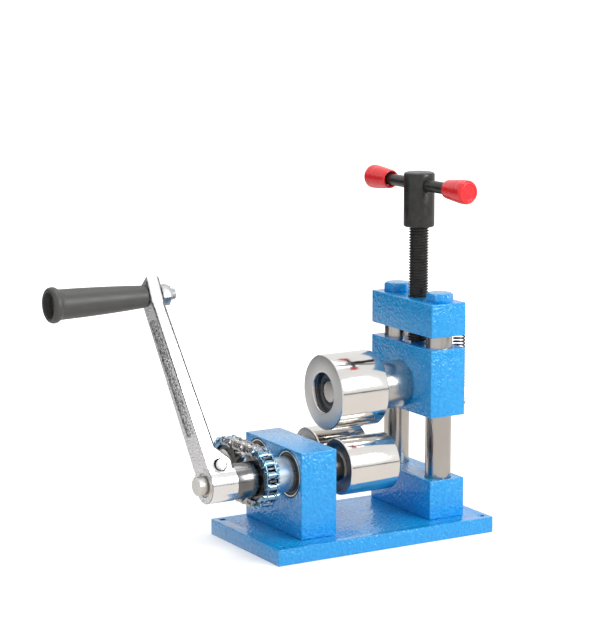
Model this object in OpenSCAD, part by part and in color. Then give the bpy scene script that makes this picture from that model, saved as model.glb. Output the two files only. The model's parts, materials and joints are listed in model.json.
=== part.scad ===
// Hand cranked ring bending machine for a bench. Millimetres, +Z up.
// The origin is the middle of the base plate's underside. +X runs along the shafts,
// from the crank to the tower, and +Y runs from the front roller to the back roller.

/* [Base plate] */
// Length of the base plate, along X
base_length = 220; // [212:1:260]
// Width of the base plate, along Y
base_width = 120; // [116:1:150]
// Thickness of the base plate
base_thickness = 14; // [12:0.5:20]
// Diameter of the four bench bolt holes
bench_hole_d = 6; // [4:0.5:8]
// Distance from the plate's edges to the bench bolt holes
bench_hole_inset = 7.5; // [6:0.5:12]

/* [Blocks] */
// Depth of all four blocks, along Y
block_depth = 98; // [96:1:106]
// Margin between the blocks and the plate's back edge
block_margin = 4.5; // [2:0.5:8]
// Chamfer on the edges of the plate and the blocks
block_chamfer = 0.8; // [0.4:0.1:1.5]
// Thickness of the bearing block, along X
bearing_block_thickness = 35; // [33:1:44]
// Height of the bearing block
bearing_block_height = 76.5; // [76:0.5:90]
// Distance from the plate's left edge to the bearing block
bearing_block_inset = 32.7; // [24:0.1:36]
// Thickness of the three tower blocks, along X
tower_thickness = 36; // [32:1:44]
// Distance from the plate's right edge to the tower
tower_inset = 19.7; // [16:0.1:24]
// Height of the post block
post_block_height = 35; // [30:1:45]
// Height of the slide block
slide_block_height = 60.5; // [54:0.5:70]
// Height of the top block
top_block_height = 29.5; // [25:0.5:36]
// Height of the slide block above the base plate, at rest
slide_rest = 92; // [90:0.5:100]
// Gap between the slide block and the top block, at rest
slide_gap = 11; // [6:0.5:16]

/* [Shafts and chain] */
// Pitch of the roller chain
chain_pitch = 10.16; // [9.6:0.02:10.5]
// Teeth on each sprocket, an even count
sprocket_teeth = 14; // [12:2:14]
// Turn of the chain's joints from the tops of the sprockets
chain_phase = -4.8; // [-12:0.2:12]
// Thickness of the sprockets
sprocket_thickness = 7; // [5:0.1:7.2]
// Distance from the bearing block to the middle of the chain
chain_distance = 28.7; // [20:0.1:34]
// Diameter of the chain's rollers
chain_roller_d = 6.6; // [6:0.1:7]
// Distance between the inner plates of the chain
chain_inner_width = 7.7; // [7.4:0.1:9]
// Height of the chain's plates
chain_plate_height = 8.4; // [7.6:0.1:9]
// Thickness of the chain's plates
chain_plate_thickness = 1.05; // [0.8:0.05:1.5]
// Diameter of the chain's pins
chain_pin_d = 3.4; // [3:0.1:3.6]
// Wall of the bearing block above its bearings
bearing_wall = 1.5; // [1.2:0.1:6]
// Diameter of the two shafts
shaft_d = 20; // [17:0.5:22]
// Diameter of the hubs beside the sprockets
hub_d = 31; // [29:0.5:34]
// Width of the square keys in the sprocket hubs
key_size = 6; // [4:0.5:6]
// Length of the keys
key_length = 14; // [10:1:16]

/* [Bearings] */
// Outside diameter of the shaft bearings
bearing_od = 42; // [40:0.5:44]
// Width of the shaft bearings
bearing_width = 12; // [10:0.5:13]
// Diameter of the balls in the shaft bearings
bearing_ball_d = 6.35; // [5.5:0.05:6.5]
// How far the shaft bearings lie below the block's faces
bearing_recess = 0.5; // [0.2:0.1:1.5]
// Outside diameter of the upper roller's bearings
upper_bearing_od = 37; // [36:0.5:39]
// Width of the upper roller's bearings
upper_bearing_width = 9; // [8.5:0.5:11]
// Diameter of the balls in the upper roller's bearings
upper_ball_d = 4.76; // [4.2:0.02:4.8]
// Balls in each bearing
ball_count = 9; // [7:1:9]

/* [Rollers] */
// Gap between the two lower rollers
lower_roller_gap = 0.8; // [0.5:0.1:3]
// Length of the lower rollers
lower_roller_length = 50; // [40:1:60]
// Distance from the bearing block to the lower rollers
roller_distance = 14.7; // [10:0.1:20]
// Diameter of the upper roller
upper_roller_d = 67; // [60:0.5:72]
// Length of the upper roller
upper_roller_length = 48; // [42:1:54]
// Depth of the turned recess in the lower rollers' faces
face_recess = 1.5; // [0.5:0.1:3]
// Width of the rim round that recess
face_rim = 4; // [3:0.5:6]
// Chamfer on the rollers' edges
roller_chamfer = 0.8; // [0.3:0.1:1.5]
// Diameter of the lip in front of the upper roller's bearings
lip_d = 35.5; // [33:0.5:35.5]
// Depth of that lip
lip_depth = 6.2; // [3:0.1:9]
// Diameter of the upper axle
axle_d = 20; // [18:0.5:21]
// Height of the upper axle above the slide block's underside
axle_height = 23.4; // [22:0.1:30]
// Diameter of the upper axle's collar
axle_collar_d = 42; // [32:0.5:44]

/* [Tower] */
// Diameter of the guide posts
post_d = 23; // [20:0.5:25]
// Distance between the guide posts
post_spacing = 68.4; // [66:0.2:70]
// Depth of the guide posts in the post block
post_depth = 26; // [20:1:27]
// Thread of the bolts through the top block
top_bolt_d = 14; // [10:1:14]
// Size of those bolts across the flats
top_bolt_flats = 21; // [18:0.5:24]
// Height of the heads of those bolts
top_bolt_head = 8; // [5:0.5:10]

/* [Screw] */
// Diameter of the screw
screw_d = 18; // [16:0.5:20]
// Pitch of the screw's thread
screw_pitch = 2.5; // [2:0.25:3]
// Free thread between the top block and the head, at rest
screw_rise = 62.8; // [40:0.2:80]
// Diameter of the screw's head
screw_head_d = 27.5; // [24:0.5:32]
// Height of the screw's head
screw_head_height = 48.5; // [40:0.5:60]
// Diameter of the cross bar
bar_d = 10.5; // [8:0.5:12]
// Distance from the head's top to the cross bar
bar_drop = 11; // [9:0.5:16]
// Turn of the cross bar from +X
bar_turn = -88; // [-90:0.5:90]
// Length over both grips of the cross bar
bar_span = 148; // [130:1:170]
// Length of each bar grip
bar_grip_length = 30.5; // [28:0.5:34]
// Diameter of a bar grip at its inner end
bar_grip_mouth_d = 16.5; // [16:0.5:18]
// Diameter of the hollow round the bar at a bar grip's inner end
bar_grip_hollow_d = 13.5; // [12.5:0.5:14]
// Diameter of a bar grip at its outer end
bar_grip_end_d = 21; // [19:0.5:26]

/* [Springs] */
// Outside diameter of the return springs
spring_d = 11.6; // [9:0.2:12]
// Diameter of the springs' wire
spring_wire = 1.5; // [1:0.1:1.8]
// Curls in each spring
spring_curls = 22; // [14:1:24]
// Distance of the springs from the tower's middle
spring_offset = 29.7; // [20:0.1:38]
// Diameter of the screws that hold the springs
spring_screw_d = 4; // [3:0.5:4.5]
// Height of the lower spring screws above the slide block's underside
spring_low = 7.5; // [6:0.5:12]
// Distance from the top block's top to the upper spring screws
spring_high = 7; // [6:0.5:12]

/* [Crank] */
// Distance from the shaft to the handle bolt
crank_length = 170; // [140:1:190]
// Lean of the crank from upright towards the back
crank_lean = 26.4; // [-180:0.2:180]
// Distance from the middle of the chain to the crank's hub
crank_distance = 28; // [20:0.5:36]
// Width of the crank's hub, along X
crank_hub_width = 25; // [22:0.5:30]
// Diameter of the crank's hub
crank_hub_d = 32; // [31:0.5:40]
// Width of the arm at the hub
arm_root_width = 27; // [26:0.5:31]
// Width of the arm at the handle
arm_tip_width = 17; // [16:0.5:22]
// Thickness of the arm above the hub
arm_root_thickness = 14; // [11:0.5:16]
// Thickness of the arm at the handle
arm_tip_thickness = 13; // [9:0.5:14]
// How far the arm leans out from the hub to the handle
arm_offset = 15.5; // [6:0.5:20]
// How far the front of the arm runs past the handle bolt
arm_end_front = 15.5; // [11:0.5:18]
// How far the back of the arm runs past the handle bolt
arm_end_back = 10.5; // [8:0.5:16]
// Diameter of the shaft's end beyond the crank
stub_d = 16; // [12:0.5:17]
// How far the shaft's end stands out of the crank
stub_length = 8; // [3:0.5:12]
// Diameter of the cotter pin
cotter_d = 9.5; // [8:0.25:10]
// How far the cotter pin bites into the shaft
cotter_bite = 1.7; // [1:0.1:2.5]
// Thread at the end of the cotter pin
cotter_thread_d = 6; // [5:0.5:7]

/* [Handle] */
// Length of the handle grip
grip_length = 90.5; // [80:0.5:120]
// Diameter of the grip at the crank
grip_inner_d = 19.5; // [18.5:0.5:24]
// Diameter of the grip at its flange
grip_outer_d = 26; // [25.5:0.5:30]
// Diameter of the flange at the grip's end
grip_flange_d = 31; // [30:0.5:36]
// Width of that flange
grip_flange_width = 8; // [6:0.5:10]
// Diameter of the hollow in the grip's end
grip_hollow_d = 22.5; // [21.5:0.5:23]
// Depth of that hollow
grip_hollow_depth = 16; // [14:0.5:20]
// Diameter of the handle bolt
handle_bolt_d = 10; // [8:0.5:10]
// Outside diameter of the sleeve on the handle bolt
handle_sleeve_d = 14; // [12.5:0.5:14.5]

/* [Fits] */
// Radial clearance of pieces that turn or slide
run_fit = 0.05; // [0.02:0.01:0.1]
// Radial clearance of pieces that are pushed together
push_fit = 0.02; // [0.01:0.01:0.05]
// Clearance of curved faces that pass each other
pass_gap = 0.35; // [0.3:0.05:0.6]
// Clearance of the balls in their grooves and pockets
ball_gap = 0.1; // [0.05:0.05:0.15]

/* [Hidden] */
$fn = 64;

// How far a cutter reaches past the face that it cuts
cut = 1;

// Colours of the finishes
paint_blue = [0.13, 0.50, 0.85];
bright_steel = [0.80, 0.80, 0.80];
ground_steel = [0.62, 0.60, 0.57];
dark_steel = [0.33, 0.33, 0.34];
black_oxide = [0.10, 0.10, 0.11];
black_rubber = [0.08, 0.08, 0.08];
chrome = [0.88, 0.88, 0.88];
grip_red = [0.86, 0.09, 0.12];
brass = [0.75, 0.60, 0.30];

// Faces and middles of the blocks
block_mid_y = base_width / 2 - block_margin - block_depth / 2;
bearing_block_x0 = -base_length / 2 + bearing_block_inset;
bearing_block_x1 = bearing_block_x0 + bearing_block_thickness;
tower_x1 = base_length / 2 - tower_inset;
tower_x0 = tower_x1 - tower_thickness;
tower_x = (tower_x0 + tower_x1) / 2;
slide_z0 = base_thickness + slide_rest;
slide_z1 = slide_z0 + slide_block_height;
top_z0 = slide_z1 + slide_gap;
top_z1 = top_z0 + top_block_height;

// Shafts, chain and sprockets
chain_run_links = 5;
shaft_spacing = chain_pitch * chain_run_links;
front_y = block_mid_y - shaft_spacing / 2;
back_y = block_mid_y + shaft_spacing / 2;
shaft_z = base_thickness + bearing_block_height - bearing_wall - bearing_od / 2;
chain_x = bearing_block_x0 - chain_distance;
chain_links = 2 * chain_run_links + sprocket_teeth;
sprocket_r = chain_pitch / 2 / sin(180 / sprocket_teeth);
tooth_rise = 0.6;
sprocket_tip_r = min(chain_pitch / 2 * (tooth_rise + 1 / tan(180 / sprocket_teeth)),
                     shaft_spacing / 2 - pass_gap);
hub_od = min(hub_d, 2 * sprocket_r * cos(180 / sprocket_teeth) - chain_plate_height - 2 * pass_gap);
tooth_flank = 25;
chain_plate_gap = 0.1;
chain_bush_wall = 0.7;
chain_bush_d = chain_pin_d + 2 * chain_bush_wall;
chain_waist = 6;
chain_rivet = 0.4;
hub_gap = 1;
key_inset = 1;
shaft_chamfer = 0.8;
shaft_head = 4;
shaft_head_chamfer = 1;

// Bearings: the rings' lands lie this share of a ball's diameter from the pitch circle
land_share = 0.39;
seal_inset = 0.4;
seal_thickness = 1;
seal_gap = 0.15;
cage_gap = 0.3;
cage_thickness = 1.2;
seat_wall = 2.4;
ring_seat_d = shaft_d + 2 * seat_wall;
seat_shoulder = 3;

// Lower and upper rollers
lower_roller_d = shaft_spacing - lower_roller_gap;
lower_roller_x0 = bearing_block_x1 + roller_distance;
lower_roller_x1 = lower_roller_x0 + lower_roller_length;
upper_roller_x0 = (lower_roller_x0 + lower_roller_x1 - upper_roller_length) / 2;
upper_roller_x1 = upper_roller_x0 + upper_roller_length;
axle_z = slide_z0 + axle_height;
roller_hub_wall = 1;
circlip_thickness = 1.6;
circlip_inset = 2.6;
circlip_grip = 1;
circlip_width = 3;
circlip_opening = 8;
upper_bearing_x0 = upper_roller_x0 + lip_depth;
upper_bearing_x3 = upper_roller_x1 - circlip_inset - circlip_thickness;
upper_bearing_x1 = upper_bearing_x0 + upper_bearing_width;
upper_bearing_x2 = upper_bearing_x3 - upper_bearing_width;
spacer_wall = 2.5;
collar_gap = 0.8;
axle_thread_d = 16;
axle_boss_wall = 2.2;
axle_boss_d = axle_d + 2 * axle_boss_wall;
axle_chamfer = 0.6;
axle_thread_chamfer = 1;
axle_relief = 1;
axle_nut_flats = 24;
axle_nut_height = 12;
axle_nut_flange = 3;
axle_nut_flange_d = 30;
axle_end = 3;

// Screws through the base plate
base_screw_d = 8;
base_screw_length = 30;
base_screw_head_d = 13;
base_screw_head = 8;
base_screw_sink = 8.5;
base_screw_room = 0.5;
hex_socket = 6;
socket_depth = 4;
top_bolt_bite = 22;
top_bolt_turn = 36;
top_bolt_crown = 0.97;
hole_end = 2;
bolt_room = 0.25;
base_screw_spacing = 60;

// Screw, cross bar and grips
seat_depth = 9;
screw_tip_d = 12;
tip_gap = 0.1;
thread_depth = 1.35;
thread_crest = 0.45;
screw_spigot_d = 13;
screw_spigot = 20;
tip_rise = 1;
tip_chamfer = 1;
screw_z0 = slide_z1 + tip_rise;
head_z0 = top_z1 + screw_rise;
head_z1 = head_z0 + screw_head_height;
head_chamfer = 1.2;
bar_z = head_z1 - bar_drop;
bar_grip_depth = 24;
bar_grip_hollow = 7;
bar_grip_chamfer = 2.5;
bar_grip_band = 9;
dish_depth = 1.2;
dish_rim = 3;
bar_chamfer = 0.8;

// Springs and their screws
spring_r = (spring_d - spring_wire) / 2;
spring_clearance = 0.5;
spring_x = tower_x1 + spring_d / 2 + spring_clearance;
spring_z0 = slide_z0 + spring_low;
spring_z1 = top_z1 - spring_high;
hook_r = spring_screw_d / 2 + spring_wire / 2 + pass_gap;
spring_leg = 12.8;
upper_leg = 8.6;
bend_rise = 3;
hook_turn = 210;
hook_start = 150;
spring_screw_bite = 5;
spring_hole_room = 0.3;
spring_screw_head = 2.8;
spring_screw_head_d = 7;
spring_screw_chamfer = 1;
spring_screw_room = 2.9;
upper_screw_sunk = 2.6;
curl_steps = 8;
wire_sides = 6;

// Crank, from its hub on the shaft to its eye at the handle
hub_x1 = chain_x - crank_distance;
hub_x0 = hub_x1 - crank_hub_width;
stub_x0 = hub_x0 - stub_length;
stub_inset = 2;
stub_x1 = hub_x0 + stub_inset;
eye_x0 = hub_x0 - arm_offset;
eye_x1 = eye_x0 + arm_tip_thickness;
hub_x = (hub_x0 + hub_x1) / 2;
eye_run = 9;
flare_start = crank_hub_d / 2;
flare_end = 30;
flare_step = 2;
panel_width = 9;
panel_depth = 0.8;
panel_start = 48;
panel_stop = 26;
cotter_z = shaft_d / 2 - cotter_bite + cotter_d / 2;
cotter_seat = 12.5;
cotter_head = 3.5;
cotter_washer_d = 13;
cotter_washer_thickness = 1.2;
cotter_nut_flats = 10;
cotter_nut_height = 5;
cotter_end = 2;
cotter_chamfer = 1;
cotter_shank_gap = 1;
cotter_seat_room = 1;

// Handle on its bolt
end_play = 0.5;
grip_x1 = eye_x0 - end_play;
grip_x0 = grip_x1 - grip_length;
hollow_x = grip_x0 + grip_hollow_depth;
sleeve_x0 = hollow_x - end_play;
bolt_flange_d = 20;
bolt_flange = 2;
bolt_flats = 15;
bolt_head = 7;
handle_nut_flats = 17;
handle_nut_height = 8.5;
bolt_end = 6;

// A straight run along X of a solid of revolution, from [x, radius] points
module turned_x(profile) {
    rotate([0, 90, 0])
        rotate_extrude()
            polygon([for (p = profile) [p[1], p[0]]]);
}

module rod_x(d, x0, x1) {
    translate([x0, 0, 0])
        rotate([0, 90, 0])
            cylinder(d = d, h = x1 - x0);
}

module tube_x(outer_d, inner_d, x0, x1) {
    translate([x0, 0, 0])
        rotate([0, 90, 0])
            linear_extrude(x1 - x0)
                difference() {
                    circle(d = outer_d);
                    circle(d = inner_d);
                }
}

// A hexagon along X, given across its flats
module hex_x(flats, x0, x1) {
    translate([x0, 0, 0])
        rotate([0, 90, 0])
            cylinder(d = flats / cos(30), h = x1 - x0, $fn = 6);
}

// Lays a flat outline in the YZ plane and gives it a thickness along X, from x0 to x1
module slab_x(x0, x1) {
    translate([x0, 0, 0])
        rotate([90, 0, 90])
            linear_extrude(x1 - x0)
                children();
}

module cut_corner_rectangle(w, h, c) {
    polygon([[-w / 2 + c, 0], [w / 2 - c, 0], [w / 2, c], [w / 2, h - c],
             [w / 2 - c, h], [-w / 2 + c, h], [-w / 2, h - c], [-w / 2, c]]);
}

// A block that stands on z = 0 with all its edges chamfered
module chamfered_block(w, d, h, c) {
    intersection() {
        linear_extrude(h)
            translate([0, -d / 2])
                cut_corner_rectangle(w, d, c);
        translate([0, d / 2, 0])
            rotate([90, 0, 0])
                linear_extrude(d)
                    cut_corner_rectangle(w, h, c);
        slab_x(-w / 2, w / 2)
            cut_corner_rectangle(d, h, c);
    }
}

module at_front_shaft() {
    translate([0, front_y, shaft_z])
        children();
}

module at_back_shaft() {
    translate([0, back_y, shaft_z])
        children();
}

module at_axle() {
    translate([0, block_mid_y, axle_z])
        children();
}

module at_posts() {
    for (side = [-1, 1])
        translate([tower_x, block_mid_y + side * post_spacing / 2, 0])
            children();
}

// Bearing pieces lie on the X axis, with the middle of the bearing's width at x = 0
function pitch_r(bore, od) = (bore + od) / 4;

module outer_ring(bore, od, width, ball) {
    land_r = pitch_r(bore, od) + land_share * ball;
    rotate([0, 90, 0])
        rotate_extrude()
            difference() {
                translate([land_r, -width / 2])
                    square([od / 2 - land_r, width]);
                translate([pitch_r(bore, od), 0])
                    circle(d = ball + 2 * ball_gap);
            }
}

module inner_ring(bore, od, width, ball) {
    bore_r = bore / 2 + push_fit;
    land_r = pitch_r(bore, od) - land_share * ball;
    rotate([0, 90, 0])
        rotate_extrude()
            difference() {
                translate([bore_r, -width / 2])
                    square([land_r - bore_r, width]);
                translate([pitch_r(bore, od), 0])
                    circle(d = ball + 2 * ball_gap);
            }
}

module ball_set(bore, od, ball) {
    for (i = [0 : ball_count - 1])
        rotate([i * 360 / ball_count, 0, 0])
            translate([0, 0, pitch_r(bore, od)])
                sphere(d = ball);
}

module ball_cage(bore, od, width, ball) {
    cage_d = 2 * pitch_r(bore, od);
    half = width / 2 - seal_inset - seal_thickness - cage_gap;
    difference() {
        tube_x(cage_d + cage_thickness, cage_d - cage_thickness, -half, half);
        for (i = [0 : ball_count - 1])
            rotate([i * 360 / ball_count, 0, 0])
                translate([0, 0, cage_d / 2 - cage_thickness])
                    cylinder(d = ball + 2 * ball_gap, h = 2 * cage_thickness);
    }
}

module seal_pair(bore, od, width, ball) {
    outer_d = 2 * (pitch_r(bore, od) + land_share * ball - push_fit);
    inner_d = 2 * (pitch_r(bore, od) - land_share * ball + seal_gap);
    outside = width / 2 - seal_inset;
    tube_x(outer_d, inner_d, -outside, seal_thickness - outside);
    tube_x(outer_d, inner_d, outside - seal_thickness, outside);
}

// The two bearings of one shaft
module at_shaft_bearings() {
    from_face = bearing_recess + bearing_width / 2;
    for (x = [bearing_block_x0 + from_face, bearing_block_x1 - from_face])
        translate([x, 0, 0])
            children();
}

// The two bearings in the upper roller
module at_upper_bearings() {
    for (x = [upper_bearing_x0, upper_bearing_x2])
        translate([x + upper_bearing_width / 2, block_mid_y, axle_z])
            children();
}

module base_screw_places() {
    for (side = [-1, 1])
        translate([(bearing_block_x0 + bearing_block_x1) / 2, block_mid_y + side * base_screw_spacing / 2, 0])
            children();
    at_posts()
        children();
}

module bench_hole_places() {
    for (x = [-1, 1], y = [-1, 1])
        translate([x * (base_length / 2 - bench_hole_inset), y * (base_width / 2 - bench_hole_inset), 0])
            children();
}

module base_plate() {
    color(paint_blue)
        difference() {
            chamfered_block(base_length, base_width, base_thickness, block_chamfer);
            bench_hole_places()
                translate([0, 0, -cut])
                    cylinder(d = bench_hole_d, h = base_thickness + 2 * cut);
            base_screw_places() {
                translate([0, 0, -cut])
                    cylinder(d = base_screw_d + 2 * bolt_room, h = base_thickness + 2 * cut);
                translate([0, 0, -cut])
                    cylinder(d = base_screw_head_d + 2 * base_screw_room, h = base_screw_sink + cut);
            }
        }
}

// Socket screws from below: two hold the bearing block, two hold the posts and the post block
module base_screws() {
    color(black_oxide)
        base_screw_places()
            translate([0, 0, base_screw_sink])
                difference() {
                    union() {
                        cylinder(d = base_screw_d, h = base_screw_length);
                        translate([0, 0, -base_screw_head])
                            cylinder(d = base_screw_head_d, h = base_screw_head);
                    }
                    translate([0, 0, -base_screw_head - cut])
                        cylinder(d = hex_socket / cos(30), h = socket_depth + cut, $fn = 6);
                }
}

module base_screw_holes() {
    base_screw_places()
        cylinder(d = base_screw_d + 2 * push_fit, h = base_screw_sink + base_screw_length + hole_end);
}

module bearing_block() {
    seat = bearing_width + bearing_recess;
    color(paint_blue)
        difference() {
            translate([(bearing_block_x0 + bearing_block_x1) / 2, block_mid_y, base_thickness])
                chamfered_block(bearing_block_thickness, block_depth, bearing_block_height, block_chamfer);
            for (y = [front_y, back_y])
                translate([0, y, shaft_z]) {
                    rod_x(bearing_od - 2 * seat_shoulder, bearing_block_x0 - cut, bearing_block_x1 + cut);
                    rod_x(bearing_od + 2 * push_fit, bearing_block_x0 - cut, bearing_block_x0 + seat);
                    rod_x(bearing_od + 2 * push_fit, bearing_block_x1 - seat, bearing_block_x1 + cut);
                }
            base_screw_holes();
        }
}

module post_block() {
    post_z0 = base_thickness + post_block_height - post_depth;
    color(paint_blue)
        difference() {
            translate([tower_x, block_mid_y, base_thickness])
                chamfered_block(tower_thickness, block_depth, post_block_height, block_chamfer);
            at_posts() {
                translate([0, 0, post_z0])
                    cylinder(d = post_d + 2 * push_fit, h = post_depth + cut);
                cylinder(d = base_screw_d + 2 * bolt_room, h = post_z0 + cut);
            }
        }
}

module guide_post(side) {
    post_z0 = base_thickness + post_block_height - post_depth;
    screw_top = base_screw_sink + base_screw_length + hole_end;
    color(ground_steel)
        translate([tower_x, block_mid_y + side * post_spacing / 2, 0])
            difference() {
                translate([0, 0, post_z0])
                    cylinder(d = post_d, h = top_z0 - post_z0);
                cylinder(d = base_screw_d + 2 * push_fit, h = screw_top);
                translate([0, 0, top_z0 - top_bolt_bite - hole_end])
                    cylinder(d = top_bolt_d + 2 * push_fit, h = top_bolt_bite + hole_end + cut);
            }
}

module front_guide_post() {
    guide_post(-1);
}

module back_guide_post() {
    guide_post(1);
}

module spring_screw_holes(z) {
    for (side = [-1, 1])
        translate([0, block_mid_y + side * spring_offset, z])
            rod_x(spring_screw_d + 2 * push_fit,
                  tower_x1 - spring_screw_bite - spring_hole_room, tower_x1 + cut);
}

module top_block() {
    color(paint_blue)
        difference() {
            translate([tower_x, block_mid_y, top_z0])
                chamfered_block(tower_thickness, block_depth, top_block_height, block_chamfer);
            at_posts()
                translate([0, 0, top_z0 - cut])
                    cylinder(d = top_bolt_d + 2 * bolt_room, h = top_block_height + 2 * cut);
            translate([tower_x, block_mid_y, top_z0 - cut])
                cylinder(d = screw_d + 2 * run_fit, h = top_block_height + 2 * cut);
            spring_screw_holes(spring_z1);
        }
}

// Hexagon bolts that clamp the top block on the posts
module top_bolts() {
    color(dark_steel)
        at_posts() {
            translate([0, 0, top_z0 - top_bolt_bite])
                cylinder(d = top_bolt_d, h = top_block_height + top_bolt_bite);
            translate([0, 0, top_z1])
                rotate([0, 0, top_bolt_turn])
                    intersection() {
                        cylinder(d = top_bolt_flats / cos(30), h = top_bolt_head, $fn = 6);
                        cylinder(d1 = top_bolt_flats * 2, d2 = top_bolt_flats * top_bolt_crown,
                                 h = top_bolt_head);
                    }
        }
}

module drive_bearing_outer_rings() {
    color(bright_steel)
        at_front_shaft()
            at_shaft_bearings()
                outer_ring(shaft_d, bearing_od, bearing_width, bearing_ball_d);
}

module driven_bearing_outer_rings() {
    color(bright_steel)
        at_back_shaft()
            at_shaft_bearings()
                outer_ring(shaft_d, bearing_od, bearing_width, bearing_ball_d);
}

module drive_bearing_inner_rings() {
    color(bright_steel)
        at_front_shaft()
            at_shaft_bearings()
                inner_ring(shaft_d, bearing_od, bearing_width, bearing_ball_d);
}

module driven_bearing_inner_rings() {
    color(bright_steel)
        at_back_shaft()
            at_shaft_bearings()
                inner_ring(shaft_d, bearing_od, bearing_width, bearing_ball_d);
}

module drive_bearing_balls() {
    color(chrome)
        at_front_shaft()
            at_shaft_bearings()
                ball_set(shaft_d, bearing_od, bearing_ball_d);
}

module driven_bearing_balls() {
    color(chrome)
        at_back_shaft()
            at_shaft_bearings()
                ball_set(shaft_d, bearing_od, bearing_ball_d);
}

module drive_bearing_cages() {
    color(brass)
        at_front_shaft()
            at_shaft_bearings()
                ball_cage(shaft_d, bearing_od, bearing_width, bearing_ball_d);
}

module driven_bearing_cages() {
    color(brass)
        at_back_shaft()
            at_shaft_bearings()
                ball_cage(shaft_d, bearing_od, bearing_width, bearing_ball_d);
}

module bearing_seals() {
    color(black_rubber) {
        at_front_shaft()
            at_shaft_bearings()
                seal_pair(shaft_d, bearing_od, bearing_width, bearing_ball_d);
        at_back_shaft()
            at_shaft_bearings()
                seal_pair(shaft_d, bearing_od, bearing_width, bearing_ball_d);
    }
}

// Joints of the chain in the YZ plane. They start above the front sprocket, run to the back one,
// round it, back below and round the front one, on the same turn of both sprockets
function chain_joint(i) =
    let (run = chain_run_links, wrap = sprocket_teeth / 2, step = 360 / sprocket_teeth)
    let (first = 90 + chain_phase, lean = sprocket_r * cos(first), level = sprocket_r * sin(first))
    i <= run ? [front_y + lean + i * chain_pitch, shaft_z + level] :
    i <= run + wrap ? let (a = first - (i - run) * step)
        [back_y + sprocket_r * cos(a), shaft_z + sprocket_r * sin(a)] :
    i <= 2 * run + wrap ? [back_y - lean - (i - run - wrap) * chain_pitch, shaft_z - level] :
    let (a = first - 180 - (i - 2 * run - wrap) * step)
        [front_y + sprocket_r * cos(a), shaft_z + sprocket_r * sin(a)];

module chain_plate(hole_d) {
    difference() {
        union() {
            circle(d = chain_plate_height);
            translate([chain_pitch, 0])
                circle(d = chain_plate_height);
            translate([0, -chain_waist / 2])
                square([chain_pitch, chain_waist]);
        }
        circle(d = hole_d);
        translate([chain_pitch, 0])
            circle(d = hole_d);
    }
}

// Plates of every second link, at the distance inside from the chain's middle plane
module chain_plates(first, inside, hole_d) {
    for (i = [first : 2 : chain_links - 1]) {
        here = chain_joint(i);
        next = chain_joint(i + 1);
        for (x = [chain_x - inside - chain_plate_thickness, chain_x + inside])
            slab_x(x, x + chain_plate_thickness)
                translate(here)
                    rotate(atan2(next[1] - here[1], next[0] - here[0]))
                        chain_plate(hole_d);
    }
}

module at_chain_joints() {
    for (i = [0 : chain_links - 1])
        translate([chain_x, chain_joint(i)[0], chain_joint(i)[1]])
            children();
}

module chain_inner_plates() {
    color(dark_steel)
        chain_plates(1, chain_inner_width / 2, chain_bush_d + 2 * push_fit);
}

module chain_outer_plates() {
    color(dark_steel)
        chain_plates(0, chain_inner_width / 2 + chain_plate_thickness + chain_plate_gap,
                     chain_pin_d + 2 * push_fit);
}

module chain_rollers() {
    half = chain_inner_width / 2 - chain_plate_gap;
    color(dark_steel)
        at_chain_joints()
            tube_x(chain_roller_d, chain_bush_d + 2 * run_fit, -half, half);
}

module chain_bushes() {
    half = chain_inner_width / 2 + chain_plate_thickness;
    color(dark_steel)
        at_chain_joints()
            tube_x(chain_bush_d, chain_pin_d + 2 * run_fit, -half, half);
}

module chain_pins() {
    half = chain_inner_width / 2 + 2 * chain_plate_thickness + chain_plate_gap + chain_rivet;
    color(bright_steel)
        at_chain_joints()
            rod_x(chain_pin_d, -half, half);
}

// One gap between two teeth: the roller's seat and the flanks that open outwards
module tooth_gap() {
    seat_r = chain_roller_d / 2 + pass_gap;
    reach = 2 * (sprocket_tip_r - sprocket_r) + seat_r;
    foot = seat_r * [-sin(tooth_flank), cos(tooth_flank)];
    end = foot + reach * [cos(tooth_flank), sin(tooth_flank)];
    translate([sprocket_r, 0]) {
        circle(r = seat_r);
        polygon([foot, end, [end[0], -end[1]], [foot[0], -foot[1]]]);
    }
}

module toothed_disc() {
    difference() {
        circle(r = sprocket_tip_r);
        for (i = [0 : sprocket_teeth - 1])
            rotate(90 + chain_phase + i * 360 / sprocket_teeth)
                tooth_gap();
    }
}

// A sprocket on the X axis with its hub towards the bearing, bored and keyed
module sprocket() {
    disc_x0 = chain_x - sprocket_thickness / 2;
    ring_x = bearing_block_x0 + bearing_recess;
    hub_end = ring_x - hub_gap;
    difference() {
        union() {
            slab_x(disc_x0, disc_x0 + sprocket_thickness)
                toothed_disc();
            rod_x(hub_od, disc_x0, hub_end);
            rod_x(ring_seat_d, disc_x0, ring_x);
        }
        rod_x(shaft_d + 2 * push_fit, disc_x0 - cut, ring_x + cut);
        key_room(push_fit);
    }
}

function key_x0() = chain_x + sprocket_thickness / 2 + key_inset;

// The square key, half in the shaft and half in the hub
module key_room(room) {
    translate([key_x0() - room, -key_size / 2 - room, shaft_d / 2 - key_size / 2])
        cube([key_length + 2 * room, key_size + 2 * room, key_size + room]);
}

module drive_sprocket() {
    color(dark_steel)
        at_front_shaft()
            sprocket();
}

module driven_sprocket() {
    color(dark_steel)
        at_back_shaft()
            sprocket();
}

module drive_key() {
    color(dark_steel)
        at_front_shaft()
            key_room(0);
}

module driven_key() {
    color(dark_steel)
        at_back_shaft()
            key_room(0);
}

// The part of a shaft that both share: bearings, shoulder and roller seat
module plain_shaft(x0) {
    rod_x(shaft_d, x0, lower_roller_x1);
    rod_x(ring_seat_d, bearing_block_x1 - bearing_recess, lower_roller_x0);
}

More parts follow.
